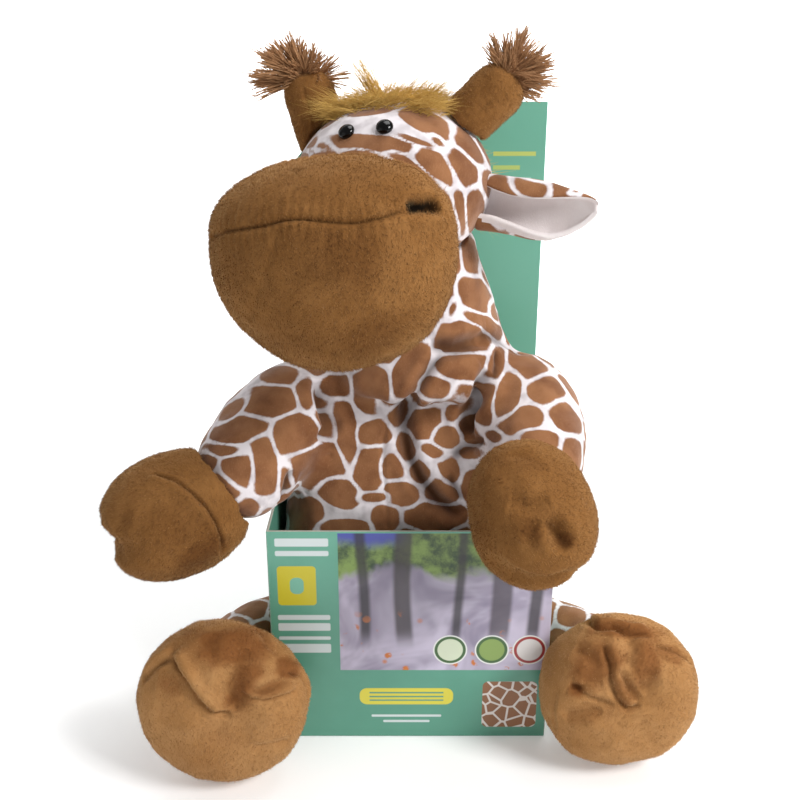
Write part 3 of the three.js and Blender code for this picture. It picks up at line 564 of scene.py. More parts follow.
def printed(piece, spots, seed, blank=(), spacing=14.0):
    """Gives each point its distance in mm inside the nearest spot. Charted spots hold where the camera sees
    the skin, and others are scattered over the rest. Sizes are in mm, because a mark of the picture is as
    wide as a thousandth of its distance."""
    points, normals = points_of(piece), normals_of(piece)
    across, down, depth = seen(points)
    hidden = np.clip((SEEN_EDGE - facing(points, normals)) * 14, 0, 6)
    free = np.ones(len(points), bool)
    ratios, sizes = [], []
    for row in spots:
        half = math.sqrt(row[2] * row[3])
        ratio = oval(across, down, row) + hidden
        ratios.append(ratio)
        sizes.append(half * depth)
        free &= ratio > 1.0 + 0.5 * spacing / (half * TOY_AWAY)
    for row in blank:
        free &= (oval(across, down, row) + hidden) > BLANK_RIM

    draw = np.random.default_rng(seed)
    middles = scattered(points, free, spacing, draw)
    wobble = np.stack([grain(points, 16 * MM, seed + k) for k in (1, 2, 3)], 1) * 1.6 * MM
    for middle in middles:
        size = spacing * draw.uniform(0.5, 0.64)
        stretch = draw.normal(size=3)
        stretch /= np.linalg.norm(stretch)
        off = points + wobble - middle
        along = off @ stretch
        ratios.append(np.sqrt(np.maximum(np.sum(off**2, axis=1) - 0.4 * along**2, 0)) / (size * MM))
        sizes.append(np.full(len(points), size))

    ratios, sizes = np.array(ratios), np.array(sizes)
    nearest = np.argmin(ratios, axis=0)
    column = np.arange(len(points))
    first, size = ratios[nearest, column], sizes[nearest, column]
    total = np.exp(-(SPOT_REACH - first) * size / SPOT_SHARP)
    for k in range(len(ratios)):
        gap = (ratios[k] - first) * size * sizes[k] / (size + sizes[k]) - LINE_HALF
        total += np.where(nearest == k, 0, np.exp(-np.clip(gap, -9, 30) / SPOT_SHARP))
    mark(piece, "spot", -SPOT_SHARP * np.log(np.maximum(total, 1e-9)))


FOLD_SHADE_SMOOTHING = 3


def fold_shade(piece, places):
    """Marks painted shade in the depths of folds. places are stitched lines, the shade's width and its share."""
    points = points_of(piece)
    dark = np.zeros(len(points))
    for stitches, width, share in places:
        line = points[stitches]
        for _ in range(FOLD_SHADE_SMOOTHING):
            line[1:-1] = (line[:-2] + 2 * line[1:-1] + line[2:]) / 4
        away, place, run = near_line(points, line)
        dark = np.maximum(dark, share * np.exp(-((away / width) ** 2)) * fade(place, run, 1.5 * width))
    mark(piece, "fold_shade", dark)


def oval(across, down, row):
    """Distance from the middle of an oval of the picture, 1 on its rim."""
    x, y, long, wide, turn = row[:5]
    c, s = math.cos(math.radians(turn)), math.sin(math.radians(turn))
    u = ((across - x) * c + (down - y) * s) / long
    v = ((down - y) * c - (across - x) * s) / wide
    return (np.abs(u) ** 2.5 + np.abs(v) ** 2.5) ** 0.4


def brushed_and_shade(piece, patches, seed):
    """Marks painted shade on pile that lies toward the camera and where shade falls: ovals of the picture
    with a strength, and soft noise elsewhere, weaker at the outline."""
    points, normals = points_of(piece), normals_of(piece)
    across, down, _ = seen(points)
    ragged = grain(points, 5 * MM, seed) * 0.16 + grain(points, 14 * MM, seed + 1) * 0.2
    dark = np.clip(grain(points, 26 * MM, seed + 2) * 0.35, 0, 1)
    for row in patches:
        share = np.clip((1.4 - oval(across, down, row) + ragged * 1.6) / 0.95, 0, 1)
        dark = np.maximum(dark, row[5] * share)
    mark(piece, "brushed_and_shade", dark * np.clip(facing(points, normals) * 4 + 0.4, 0, 1))


def nap(piece, amount, seed):
    """The uneven lie of the cloth itself."""
    points = points_of(piece)
    push(piece, grain(points, 17 * MM, seed) * amount * 2 + grain(points, 6 * MM, seed + 1) * amount)


def strands(name, rows, thickness, taper=0.92):
    """Tapered fibres along lines of points: rows of (points, width share, finish number)."""
    curve = bpy.data.curves.new(name, "CURVE")
    curve.dimensions = "3D"
    curve.bevel_depth = thickness / 2
    curve.bevel_resolution = 0
    curve.use_fill_caps = True
    for line, width, finish in rows:
        spline = curve.splines.new("POLY")
        spline.points.add(len(line) - 1)
        spline.points.foreach_set("co", np.c_[line, np.ones(len(line))].ravel())
        spline.points.foreach_set("radius", width * (1 - taper * np.linspace(0, 1, len(line)) ** 2.0))
        spline.material_index = finish
    shown = link(name + "_line", curve)
    graph = bpy.context.evaluated_depsgraph_get()
    mesh = bpy.data.meshes.new_from_object(shown.evaluated_get(graph))
    bpy.data.objects.remove(shown)
    return link(name, mesh)


def fibre_materials(name, colours, roughness=0.75):
    """One plain material for each tone of a pile."""
    return [
        Paint(f"{name}_{k}", Base_Color=linear(c), Roughness=roughness, Specular_IOR_Level=0.2).material
        for k, c in enumerate(colours)
    ]


BROWN = plush_material("brown_plush", (84, 50, 23), (124, 84, 44), (154, 110, 64), (214, 178, 128), 0.55)
TAN = plush_material("tan_plush", (122, 74, 38), (162, 117, 71), (188, 144, 96), (230, 196, 150), 0.5)
GIRAFFE = giraffe_material()

make_camera()

# Body: torso, neck and arms are one sewn skin. Folds are marks of the picture, with width and depth in mm
BODY_FOLDS = [
    ([(489, 372), (481, 388), (472, 406), (468, 422), (470, 438)], 3.6, 7.5),
    ([(480, 333), (497, 339), (516, 346), (530, 353)], 3.4, 1.6),
    ([(409, 398), (404, 430), (408, 455), (420, 478), (436, 497), (462, 516)], 3.8, 5.5),
    ([(444, 354), (428, 370), (418, 388), (412, 400)], 2.8, 3.4),
    ([(430, 345), (455, 348), (486, 340)], 3.6, 5.0),
    ([(318, 380), (324, 405), (330, 425), (322, 442)], 3.8, 6.0),
    ([(496, 350), (497, 365), (494, 380)], 1.8, 1.6),
    ([(452, 455), (466, 446), (484, 440)], 2.6, 2.6),
    ([(448, 474), (456, 486), (462, 500)], 2.2, 2.2),
    ([(292, 470), (286, 490), (283, 512)], 2.6, 2.6),
]
BELLY_SEAM = [(388, 402), (386, 425), (382, 450), (383, 475), (386, 500), (387, 530)]
BODY_NODES = ["torso", "neck", "arm_right", "arm_left"]
DEEP_FOLD = 4
body = stuffed("body", BODY_NODES, 4 * MM, smoothing=6, levels=2, slack=0.04)
printed(body, BODY_SPOTS, seed=4)
body_fold_shades = []
for marks, width, depth in BODY_FOLDS:
    stitches = fold(body, marks, width * MM, depth * MM)
    # Painted shade along each fold, wider in the deep ones
    body_fold_shades.append((stitches, width * (1.4 if depth > DEEP_FOLD else 0.9) * MM, 0.8))
seam(body, BELLY_SEAM, pitch=6 * MM)
nap(body, 0.4 * MM, 3)
fold_shade(body, body_fold_shades)
finished(body, GIRAFFE, BODY_NODES)

# Head and muzzle
head = stuffed("head_skin", ["head"], 3 * MM, inset=0.6 * MM, smoothing=2, cap=1.2 * MM)
nap(head, 0.2 * MM, 8)
printed(head, HEAD_SPOTS, seed=9, blank=EYE_FIELD)
fold_shade(head, [])
finished(head, GIRAFFE, ["head"])

MOUTH = [(211, 237), (224, 231), (259, 226), (283, 220), (301, 219), (328, 221), (358, 222), (380, 218),
         (404, 210), (412, 207)]
MOUTH_CORNER = [(406, 208), (414, 206), (424, 204), (434, 204), (442, 205)]
CHIN = [(281, 226), (272, 250), (262, 280), (249, 321)]
# Painted shade on the pile: across, down, half length, half width and turn in degrees, and strength
MUZZLE_SHADE = [(335, 262, 56, 36, -6, 0.5), (372, 338, 60, 24, -25, 0.45), (296, 344, 46, 20, 16, 0.4),
                  (236, 262, 16, 26, 10, 0.25), (390, 190, 40, 14, 15, 0.25), (340, 175, 70, 14, 0, 0.2)]
muzzle = stuffed("muzzle_skin", ["muzzle"], 4 * MM, inset=1.2 * MM, smoothing=3, cap=2.4 * MM, levels=2,
                 marks=[MOUTH])
mouth_line = seam(muzzle, MOUTH, 1.2 * MM, 1.7 * MM, 3.8 * MM, 0.32 * MM, 6 * MM)
corner_line = fold(muzzle, MOUTH_CORNER, 2.8 * MM, 6.0 * MM, 0.16, 3 * MM)
seam(muzzle, CHIN, 1.6 * MM, 0.5 * MM, 7 * MM, 0.15 * MM, 6 * MM)
nap(muzzle, 0.3 * MM, 12)
brushed_and_shade(muzzle, MUZZLE_SHADE, 3)
# Painted shade deep in the mouth's corner and along the mouth's seam
fold_shade(muzzle, [(corner_line, 2.9 * MM, 1.0), (mouth_line, 0.8 * MM, 0.45)])
finished(muzzle, BROWN, ["muzzle"])

# Hooves: the right one shows its lapped seam, the left one its dented sole
HOOF_SEAMS = {
    "right": [(152, 473), (175, 481), (191, 493), (205, 507), (215, 523), (221, 539), (223, 552)],
    "left": [(516, 438), (545, 446), (562, 462), (566, 480)],
}
HOOF_FOLDS = [
    ([(548, 520), (556, 531), (563, 541), (569, 549)], 3.6, 4.5),
    ([(508, 503), (528, 506), (550, 500)], 4.5, 2.0),
    ([(522, 538), (531, 530), (540, 520)], 3.0, 1.2),
    ([(508, 454), (526, 457), (546, 466)], 3.0, 1.0),
]
# Patches of painted shade on the pile, laid out as on the muzzle
HOOF_SHADE = {
    "right": [(170, 524, 50, 38, 30, 0.4), (198, 556, 26, 16, -30, 0.7), (128, 520, 10, 24, 20, 0.5)],
    "left": [(533, 531, 16, 18, -20, 0.6), (563, 541, 11, 10, 0, 0.8), (526, 462, 30, 14, 12, 0.4),
             (528, 500, 34, 12, 0, 0.3), (552, 522, 18, 18, 0, 0.4)],
}
hooves = {}
for side, marks in HOOF_SEAMS.items():
    hoof = stuffed(f"hoof_{side}_skin", [f"hoof_{side}"], 3.2 * MM, inset=0.8 * MM, smoothing=2,
                   cap=1.8 * MM, levels=2, marks=[marks] if side == "right" else [])
    # Painted shade along the right hoof's lapped seam and in the left hoof's deep folds
    fold_shades = []
    if side == "right":
        fold_shades.append((fold(hoof, marks, 1.2 * MM, 1.8 * MM, lap=-0.8 * MM), 0.8 * MM, 0.4))
    else:
        for marks, width, depth in HOOF_FOLDS:
            line = fold(hoof, marks, width * MM, depth * MM)
            if depth > DEEP_FOLD:
                fold_shades.append((line, 2.2 * MM, 0.35))
    nap(hoof, 0.35 * MM, 21)
    brushed_and_shade(hoof, HOOF_SHADE[side], 23)
    fold_shade(hoof, fold_shades)
    hooves[side] = finished(hoof, BROWN, [f"hoof_{side}"])

# Legs and feet: lines of the gathered sole, with width, depth and lap
FOOT_FOLDS = {
    "right": [
        ([(142, 680), (150, 670), (158, 663), (172, 656)], 1.5, 2.0, 1.5),
        ([(172, 656), (180, 668), (190, 684), (201, 699), (213, 711), (232, 715)], 1.5, 2.2, 2.2),
        ([(160, 676), (168, 684), (182, 692)], 3.5, 0.8, 0),
        ([(236, 712), (228, 694), (232, 670), (244, 646)], 4.6, 2.6, 0),
        ([(240, 692), (250, 699), (264, 700), (280, 695), (296, 690)], 1.4, 1.6, 1.2),
        ([(248, 690), (262, 691), (276, 684), (288, 674)], 2.4, 2.2, 0.5),
        ([(286, 672), (300, 675), (306, 686), (308, 700)], 1.4, 1.8, 0.8),
        ([(252, 748), (270, 745), (290, 740)], 2.6, 1.4, 0.5),
        ([(204, 636), (212, 656), (208, 682)], 5.0, 1.3, 0),
        ([(258, 628), (268, 644), (280, 654)], 2.6, 1.2, 0),
        ([(188, 652), (198, 672), (208, 690)], 3.0, 0.8, 0),
    ],
    "left": [
        ([(588, 620), (598, 627), (612, 626), (630, 632), (650, 633)], 1.8, 2.4, 1.4),
        ([(604, 646), (611, 664), (612, 680), (618, 698), (628, 708), (640, 704)], 1.8, 2.0, 1.0),
        ([(620, 668), (628, 688), (640, 703)], 1.7, 1.6, -0.6),
        ([(628, 636), (631, 652), (624, 668)], 3.4, 2.4, 0),
        ([(570, 685), (576, 688), (583, 691)], 2.0, 3.6, 0),
        ([(583, 691), (600, 700), (616, 706)], 1.6, 1.4, 1.0),
        ([(562, 715), (582, 712), (602, 708)], 3.8, 2.0, 0.6),
        ([(656, 646), (676, 651), (694, 664)], 1.5, 1.2, 0.5),
        ([(556, 690), (553, 710), (554, 736)], 1.2, 0.8, 0.3),
        ([(648, 668), (652, 682), (642, 692)], 3.0, 1.2, 0),
        ([(575, 648), (588, 656), (598, 668)], 3.4, 1.2, 0),
    ],
}
# Patches of painted shade on the pile, in the gathers of the soles, laid out as on the muzzle
FOOT_SHADE = {
    "right": [(226, 646, 42, 24, -4, 0.9), (243, 682, 17, 28, 10, 0.9), (289, 668, 13, 10, 0, 1.0),
              (170, 684, 16, 11, 20, 0.5), (270, 690, 24, 9, -12, 0.6), (200, 760, 40, 18, 0, 0.25)],
    "left": [(620, 629, 34, 9, 6, 0.9), (598, 664, 26, 26, 30, 0.75), (646, 664, 15, 26, 15, 0.8),
             (576, 689, 9, 8, 0, 0.9), (584, 714, 30, 9, -6, 0.35), (668, 654, 18, 8, 20, 0.6),
             (624, 690, 14, 18, 0, 0.6)],
}
feet = {}
for side, folds in FOOT_FOLDS.items():
    foot = stuffed(f"foot_{side}_skin", [f"foot_{side}"], 4 * MM, smoothing=3, cap=2.0 * MM, levels=2,
                   marks=[marks for marks, *_ in folds[:2]])
    fold_shades = []
    for marks, width, depth, lap in folds:
        line = fold(foot, marks, width * MM, depth * MM, lap=lap * MM, ends=4 * MM)
        # Narrow deep folds get painted shade
        if width < 2 and depth > 1:
            fold_shades.append((line, 0.9 * MM, 0.3))
    nap(foot, 0.45 * MM, 31 + len(side))
    brushed_and_shade(foot, FOOT_SHADE[side], 33)
    fold_shade(foot, fold_shades)
    low = points_of(foot)
    low[:, 2] = np.maximum(low[:, 2], 0.0)
    move_to(foot, low)
    feet[side] = finished(foot, TAN, [f"foot_{side}"])
    leg = stuffed(f"leg_{side}_skin", [f"leg_{side}"], 3.2 * MM, inset=0.4 * MM, smoothing=2, cap=1.4 * MM)
    nap(leg, 0.5 * MM, 41)
    printed(leg, [], seed=44 + len(side))
    fold_shade(leg, [])
    finished(leg, GIRAFFE, [f"leg_{side}"])

# Frame of the head, as the model turns and tips it
HEAD_AT = Vector((-0.009, -0.005, 0.2778))
HEAD_HALF = Vector((0.048, 0.044, 0.039))
HEAD_FRAME = (Matrix.Translation(HEAD_AT) @ Matrix.Rotation(math.radians(-19), 4, "Z")
              @ Matrix.Rotation(math.radians(-8), 4, "Y"))

# Ears: a leaf rolled into a funnel, print outside and white pile inside. Rows: share of the length, upper and
# lower edge from the axis and half depth in mm, and how far the upper and the lower edge curl in degrees
EAR_ROWS = [
    (0.00, 14.5, -12.0, 7.0, 128, -160),
    (0.15, 14.0, -12.5, 8.0, 146, -158),
    (0.30, 13.0, -13.5, 8.4, 154, -148),
    (0.45, 12.4, -15.2, 8.4, 154, -138),
    (0.60, 11.2, -15.6, 7.6, 148, -126),
    (0.75, 8.8, -13.0, 6.2, 136, -116),
    (0.88, 6.6, -8.8, 4.4, 120, -106),
    (0.96, 4.8, -4.6, 2.6, 106, -98),
    (1.00, 2.4, -1.6, 1.2, 94, -92),
]
EAR_LENGTH = 0.056
EAR_ROOT = (0.039, 0.002, -0.01248)
EAR_BACK = 0.1
EAR_DROOP = 0.14
EAR_CLOTH = 2.6 * MM
EAR_RINGS, EAR_ROUND = 30, 34
EAR_LIP = 0.14
EAR_TIP = 0.97
EAR_INNER = [plush_material("ear_lining", (186, 172, 166), (224, 215, 214), (246, 242, 242), (255, 250, 246),
                            0.25)]
for side, turn in SIDES.items():
    made = bmesh.new()
    bmesh.ops.create_grid(made, x_segments=EAR_RINGS, y_segments=EAR_ROUND, size=0.5)
    table = np.array(EAR_ROWS)
    frame_of_ear = (HEAD_FRAME @ Matrix.Translation((turn * EAR_ROOT[0], EAR_ROOT[1], EAR_ROOT[2]))
                    @ Matrix.Rotation(turn * EAR_BACK, 4, "Z") @ Matrix.Rotation(turn * EAR_DROOP, 4, "Y"))
    for face in made.faces:
        middle = face.calc_center_median()
        along, round_ = middle.x + 0.5, middle.y + 0.5
        face.material_index = int(round_ < EAR_LIP * min(1.0, along + 0.25) or along > EAR_TIP)
    for vert in made.verts:
        along, round_ = vert.co.x + 0.5, vert.co.y + 0.5
        top, low, deep, over, under = (float(np.interp(along, table[:, 0], table[:, k])) for k in range(1, 6))
        angle = math.radians(under + (over - under) * round_)
        middle, half = (top + low) / 2, (top - low) / 2
        crease = 0.9 * math.sin(along * 9.0 + round_ * 4.0) + 0.6 * math.sin(along * 4.0 - round_ * 9.0)
        vert.co = frame_of_ear @ Vector((
            turn * EAR_LENGTH * along, (deep * math.cos(angle) + crease * 0.5) * MM,
            (middle + half * math.sin(angle)) * MM,
        ))
    if turn > 0:
        bmesh.ops.reverse_faces(made, faces=made.faces)
    ear = from_bmesh(f"ear_{side}_skin", made)
    for finish in (GIRAFFE, *EAR_INNER):
        ear.data.materials.append(finish)
    modified(ear, "SOLIDIFY", thickness=EAR_CLOTH, offset=-1.0, material_offset=1, material_offset_rim=1)
    modified(ear, "SUBSURF", levels=1, render_levels=1)
    printed(ear, EAR_SPOTS if side == "left" else [], seed=62, spacing=12)
    brushed_and_shade(ear, [], 63)
    fold_shade(ear, [])
    materials = [int(p.material_index > 0) for p in ear.data.polygons]
    finished(ear, [GIRAFFE, *EAR_INNER], [f"ear_{side}", f"ear_lining_{side}"])
    ear.data.polygons.foreach_set("material_index", materials)

# Horns: rolled brown plush with a side seam, and a knot of yarn on each tip
HORN_LEAN = {"right": (-0.3, 0.1), "left": (0.8, 0.08)}
YARN_TONES = [(170, 128, 90), (194, 154, 116), (212, 174, 138), (236, 208, 178), (138, 96, 64)]
YARN = fibre_materials("tuft_yarn", YARN_TONES)
LOCKS, LOCK_HAIRS = 5, 15
# Bundles of each fan: heading across, forward and up, length in mm
TUFT_FAN = {
    "right": [(-1.0, -0.1, 0.12, 25), (-1.0, -0.3, 0.35, 26), (-0.9, 0.1, 0.55, 25), (-0.75, -0.3, 0.8, 25),
              (-0.5, 0.2, 0.9, 24), (-0.35, -0.3, 1.0, 24), (-0.05, 0.1, 1.0, 22), (0.2, -0.2, 0.9, 18),
              (0.6, 0.0, 0.75, 17), (0.9, -0.2, 0.45, 19), (-0.9, -0.5, -0.02, 20), (-0.4, -0.6, 0.5, 16),
              (0.3, -0.5, 0.4, 13)],
    "left": [(-0.55, 0.0, 1.0, 19), (-0.35, -0.3, 0.9, 16), (-0.1, 0.1, 1.0, 20), (0.2, -0.2, 1.0, 20),
             (0.45, 0.2, 0.8, 20), (0.65, -0.3, 0.8, 21), (0.85, 0.1, 0.5, 20), (1.0, -0.2, 0.3, 20),
             (1.0, 0.1, 0.0, 19), (0.9, -0.3, -0.25, 17), (0.5, -0.6, 0.3, 13), (0.0, -0.6, 0.7, 12)],
}
horns = {}
for side in SIDES:
    horn = stuffed(f"horn_{side}_skin", [f"horn_{side}"], 2 * MM, inset=0.3 * MM, smoothing=2, cap=0.8 * MM)
    lean, back = HORN_LEAN[side]
    onward = np.array(Vector((math.sin(lean), back, math.cos(lean))).normalized())
    points = points_of(horn)
    height = points @ onward
    middle = points.mean(0)
    tip = middle + onward * (height.max() - middle @ onward)
    foot = middle - onward * (middle @ onward - height.min())
    side_seam = np.array([foot + (tip - foot) * k / 8 + np.array((0, -0.0125, 0)) for k in range(9)])
    sew(horn, side_seam, 0.9 * MM, 0.8 * MM, 3.5 * MM, 0.25 * MM, 4 * MM)
    nap(horn, 0.35 * MM, 51)
    brushed_and_shade(horn, [], 52)
    # Painted shade along the side seam
    fold_shade(horn, [(stitched(horn, side_seam), 0.7 * MM, 0.25)])
    horns[side] = finished(horn, BROWN, [f"horn_{side}"])
    draw = np.random.default_rng(70 + len(side))
    rows = []
    for *heading, reach in TUFT_FAN[side]:
        heading = np.array(heading) / np.linalg.norm(heading)
        across = np.cross(heading, (0.2, 0.9, 0.3))
        across /= np.linalg.norm(across)
        other = np.cross(heading, across)
        for _ in range(LOCKS):
            toward = heading + draw.normal(0, 0.13, 3)
            length = reach * draw.uniform(0.8, 1.05) * MM
            start = tip - onward * 2.5 * MM + draw.normal(0, 1.7, 3) * MM
            phase, curl = draw.uniform(0, 6.3), draw.uniform(0.3, 0.9) * MM
            tone = int(draw.integers(0, 3))
            for hair in range(LOCK_HAIRS):
                share = np.linspace(0, 1, 7)[:, None]
                root = start + draw.normal(0, 0.7, 3) * MM
                splay = draw.normal(0, 0.55, 3) * (0.6 + 1.6 * share) * MM
                angle = phase + share * draw.uniform(2.5, 4.0)
                line = root + toward * length * draw.uniform(0.82, 1.04) * share + splay * share
                line = line + (across * np.sin(angle) + other * np.cos(angle)) * curl * share
                line[:, 2] -= (share[:, 0] ** 2) * length * 0.1
                shade = 4 if hair % 6 == 0 else min(2, tone + int(draw.integers(0, 2)))
                rows.append((line[:5], draw.uniform(0.85, 1.15), shade))
                rows.append((line[4:], draw.uniform(0.75, 1.0), min(3, shade + 1) if shade < 4 else 1))
    tuft = strands(f"tuft_{side}_yarn", rows, 0.5 * MM, 0.25)
    finished(tuft, YARN, [f"tuft_{side}"])

# Mane: a padded strip with long golden pile that lies out to both sides. Its path goes from the brow to the
# nape in shares of the head's half depth and half height
MANE_PATH = np.array([(-0.34, 0.97), (0.28, 0.99), (0.78, 0.66), (1.0, 0.08), (0.8, -0.64)])
MANE_SIDE = 3 * MM
MANE_HALF = 23 * MM
GOLD = fibre_materials("mane_pile", [(206, 168, 92), (226, 192, 116), (240, 212, 142), (250, 230, 176)])
GOLD_PAD = plush_material("mane_pad", (160, 116, 46), (188, 142, 62), (216, 172, 90), (240, 214, 140), 0.3)


def mane_root(along, across):
    """A point of the crown and the way out of it, in the row frame."""
    steps = np.linspace(0, 1, len(MANE_PATH))
    y = float(np.interp(along, steps, MANE_PATH[:, 0])) * HEAD_HALF.y
    z = float(np.interp(along, steps, MANE_PATH[:, 1])) * HEAD_HALF.z
    x = MANE_SIDE + across * MANE_HALF
    lower = math.sqrt(max(0.05, 1 - (x / HEAD_HALF.x) ** 2))
    place = Vector((x, y * lower, z * lower))
    out = Vector((x / HEAD_HALF.x**2, place.y / HEAD_HALF.y**2, place.z / HEAD_HALF.z**2)).normalized()
    return np.array(HEAD_FRAME @ place), np.array(HEAD_FRAME.to_3x3() @ out)


# How far the pad may rise over the head, in shares of the head's half sizes
PAD_RISE = 1.05
pad = stuffed("mane_pad", ["mane"], 2.6 * MM, inset=1.0 * MM, smoothing=12, cap=0.6 * MM)
turn_of_head = np.array(HEAD_FRAME.to_3x3())
shares = (points_of(pad) - np.array(HEAD_AT)) @ turn_of_head / np.array(HEAD_HALF)
rise = np.linalg.norm(shares, axis=1, keepdims=True)
shares *= np.minimum(1.0, PAD_RISE / rise)
move_to(pad, (shares * np.array(HEAD_HALF)) @ turn_of_head.T + np.array(HEAD_AT))
brushed_and_shade(pad, [], 91)
fold_shade(pad, [])
finished(pad, GOLD_PAD, ["mane"])
draw = np.random.default_rng(90)
rows = []
head_x = np.array(HEAD_FRAME.to_3x3() @ Vector((1, 0, 0)))
MANE_LOCKS, FRONT_LOCKS, MANE_HAIRS = 420, 300, 20
for lock in range(MANE_LOCKS):
    along = draw.uniform(0, 1) ** (1.6 if lock < FRONT_LOCKS else 0.6)
    across = draw.uniform(-1, 1)
    root, out = mane_root(along, across)
    lying = draw.uniform(0.5, 1.3) * (1 if draw.uniform() < 0.55 + 0.6 * across else -1)
    heading = out * draw.uniform(0.25, 0.75) + head_x * lying + draw.normal(0, 0.16, 3)
    heading /= np.linalg.norm(heading)
    length = draw.uniform(10, 17) * MM
    bend = draw.normal(0, 0.15, 3)
    for _ in range(MANE_HAIRS):
        share = np.linspace(0, 1, 5)[:, None]
        base = root + draw.normal(0, 2.0, 3) * MM
        base -= out * 1.2 * MM
        reach = length * draw.uniform(0.65, 1.15)
        line = base + heading * reach * share + (bend + draw.normal(0, 0.16, 3)) * reach * share**2
        line[:, 2] -= share[:, 0] ** 2 * reach * 0.18
        rows.append((line, draw.uniform(0.7, 1.2), int(draw.integers(0, 4))))
# Wisps that stand up: across, along, length in mm, lean and number of hairs
WISPS = [(-0.12, 0.12, 29, -0.42, 90), (-0.2, 0.2, 24, -0.7, 40), (0.75, 0.15, 20, 1.1, 40),
         (-0.8, 0.1, 17, -1.2, 26)]
for across, along, tall, lean, count in WISPS:
    root, out = mane_root(along, across)
    heading = out + head_x * lean
    heading /= np.linalg.norm(heading)
    for _ in range(count):
        share = np.linspace(0, 1, 6)[:, None]
        base = root + draw.normal(0, 2.4, 3) * MM
        reach = tall * draw.uniform(0.55, 1.05) * MM
        line = base + heading * reach * share + draw.normal(0, 0.1, 3) * reach * share
        line = line + draw.normal(0, 0.07, 3) * reach * share**2
        rows.append((line, draw.uniform(0.8, 1.2), int(draw.integers(0, 3))))

# Hair that reaches the back panel lies along its card
CARD_AND_AIR = 2.2 * MM
behind = points_of(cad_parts["display_box"])[:, 1].max() - CARD_AND_AIR
for line, _, _ in rows:
    line[:, 1] = np.minimum(line[:, 1], behind)
for number, part in enumerate((rows[::2], rows[1::2]), 1):
    finished(strands(f"mane_hair_{number}", part, 0.2 * MM), GOLD)

# Eyes: glossy beads
bead = Paint("eye", Base_Color=linear((4, 3, 4)), Specular_IOR_Level=0.3)
bead.feed(Roughness=bead.ramp(bead.noise(900.0), 0.2, 0.8) * 0.05 + 0.07)
BEAD = Vector((3.8, 3.8, 2.4)) * MM
for side in SIDES:
    low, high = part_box(f"eye_{side}")
    middle = (low + high) / 2
    local = HEAD_FRAME.inverted() @ middle
    out = HEAD_FRAME.to_3x3() @ Vector([local[k] / HEAD_HALF[k] ** 2 for k in range(3)]).normalized()
    made = bmesh.new()
    bmesh.ops.create_uvsphere(made, u_segments=36, v_segments=22, radius=1.0)
    shape = (Matrix.Translation(middle - out * 0.3 * MM) @ out.to_track_quat("Z", "Y").to_matrix().to_4x4()
             @ Matrix.Diagonal(BEAD).to_4x4())
    bmesh.ops.transform(made, matrix=shape, verts=made.verts)
    finished(from_bmesh(f"eye_{side}_bead", made), bead.material, [f"eye_{side}"])


# Short fuzz of the pile: one spike, repeated over a skin
def spike_of(width):
    """Points and faces of one spike, a unit tall."""
    made = bmesh.new()
    bmesh.ops.create_cone(made, segments=3, radius1=width / 2, radius2=0.0, depth=1.0, cap_ends=True)
    bmesh.ops.remove_doubles(made, verts=made.verts, dist=1e-7)
    bmesh.ops.translate(made, verts=made.verts, vec=(0, 0, 0.5))
    points = np.array([list(v.co) for v in made.verts])
    faces = np.array([[v.index for v in f.verts] for f in made.faces])
    made.free()
    return points, faces


def marked(piece, name):
    """The values of a mark that the piece's points carry."""
    values = np.zeros(len(piece.data.vertices), np.float32)
    piece.data.attributes[name].data.foreach_get("value", values)
    return values


FUZZ_ROOT = 0.15 * MM


def fuzz(name, skin, count, length, width, finishes, lean, seed, keep=None):
    """Spikes over a skin that lean one way, fewer in its folds. keep gives the share of them at each place,
    and the finishes are dark, mid, light and deepest; the darker ones go where the skin carries painted
    shade."""
    spike, sides = spike_of(width)
    mesh = skin.data
    mesh.calc_loop_triangles()
    corners = np.empty(len(mesh.loop_triangles) * 3, np.int64)
    mesh.loop_triangles.foreach_get("vertices", corners)
    corners = corners.reshape(-1, 3)
    points, normals = points_of(skin), normals_of(skin)
    a, b, c = (points[corners[:, k]] for k in range(3))
    area = np.linalg.norm(np.cross(b - a, c - a), axis=1)
    if keep is not None:
        area = area * keep((a + b + c) / 3)
    area = area * np.clip(1 - 1.5 * marked(skin, "fold_shade")[corners].mean(1), 0, 1)

    draw = np.random.default_rng(seed)
    chosen = draw.choice(len(corners), count, p=area / area.sum())
    u, v = draw.uniform(size=(2, count, 1))
    flip = u + v > 1
    u, v = np.where(flip, 1 - u, u), np.where(flip, 1 - v, v)
    roots = a[chosen] * (1 - u - v) + b[chosen] * u + c[chosen] * v
    out = normals[corners[chosen]].mean(1)
    drift = np.array(lean) / np.linalg.norm(lean) + draw.normal(0, 0.28, (count, 3))
    drift = drift + 0.8 * np.stack([grain(roots, 22 * MM, seed + k) for k in (3, 4, 5)], 1)
    drift -= out * np.einsum("ij,ij->i", drift, out)[:, None]
    up = out * 0.62 + drift * 0.75
    up /= np.linalg.norm(up, axis=1, keepdims=True)
    across = np.cross(up, draw.normal(size=(count, 3)))
    across /= np.linalg.norm(across, axis=1, keepdims=True)
    other = np.cross(up, across)
    tall = (length * draw.uniform(0.6, 1.25, count))[:, None, None]

    places = (roots - out * FUZZ_ROOT)[:, None] + across[:, None] * spike[:, 0, None]
    places = places + other[:, None] * spike[:, 1, None] + up[:, None] * tall * spike[:, 2, None]
    faces = (sides[None] + np.arange(count)[:, None, None] * len(spike)).reshape(-1, 3)
    hair = bpy.data.meshes.new(name)
    hair.from_pydata(places.reshape(-1, 3), [], faces)
    # Fibres take the darker tones where the skin carries painted shade
    shade = marked(skin, "brushed_and_shade")[corners[chosen]].mean(1) + draw.normal(0, 0.22, count)
    tones = np.where(shade > 0.62, 3, np.where(shade > 0.3, 0, draw.integers(1, 3, count)))
    piece = finished(link(name, hair), finishes)
    piece.data.polygons.foreach_set("material_index", np.repeat(tones, len(sides)).astype(np.int32))
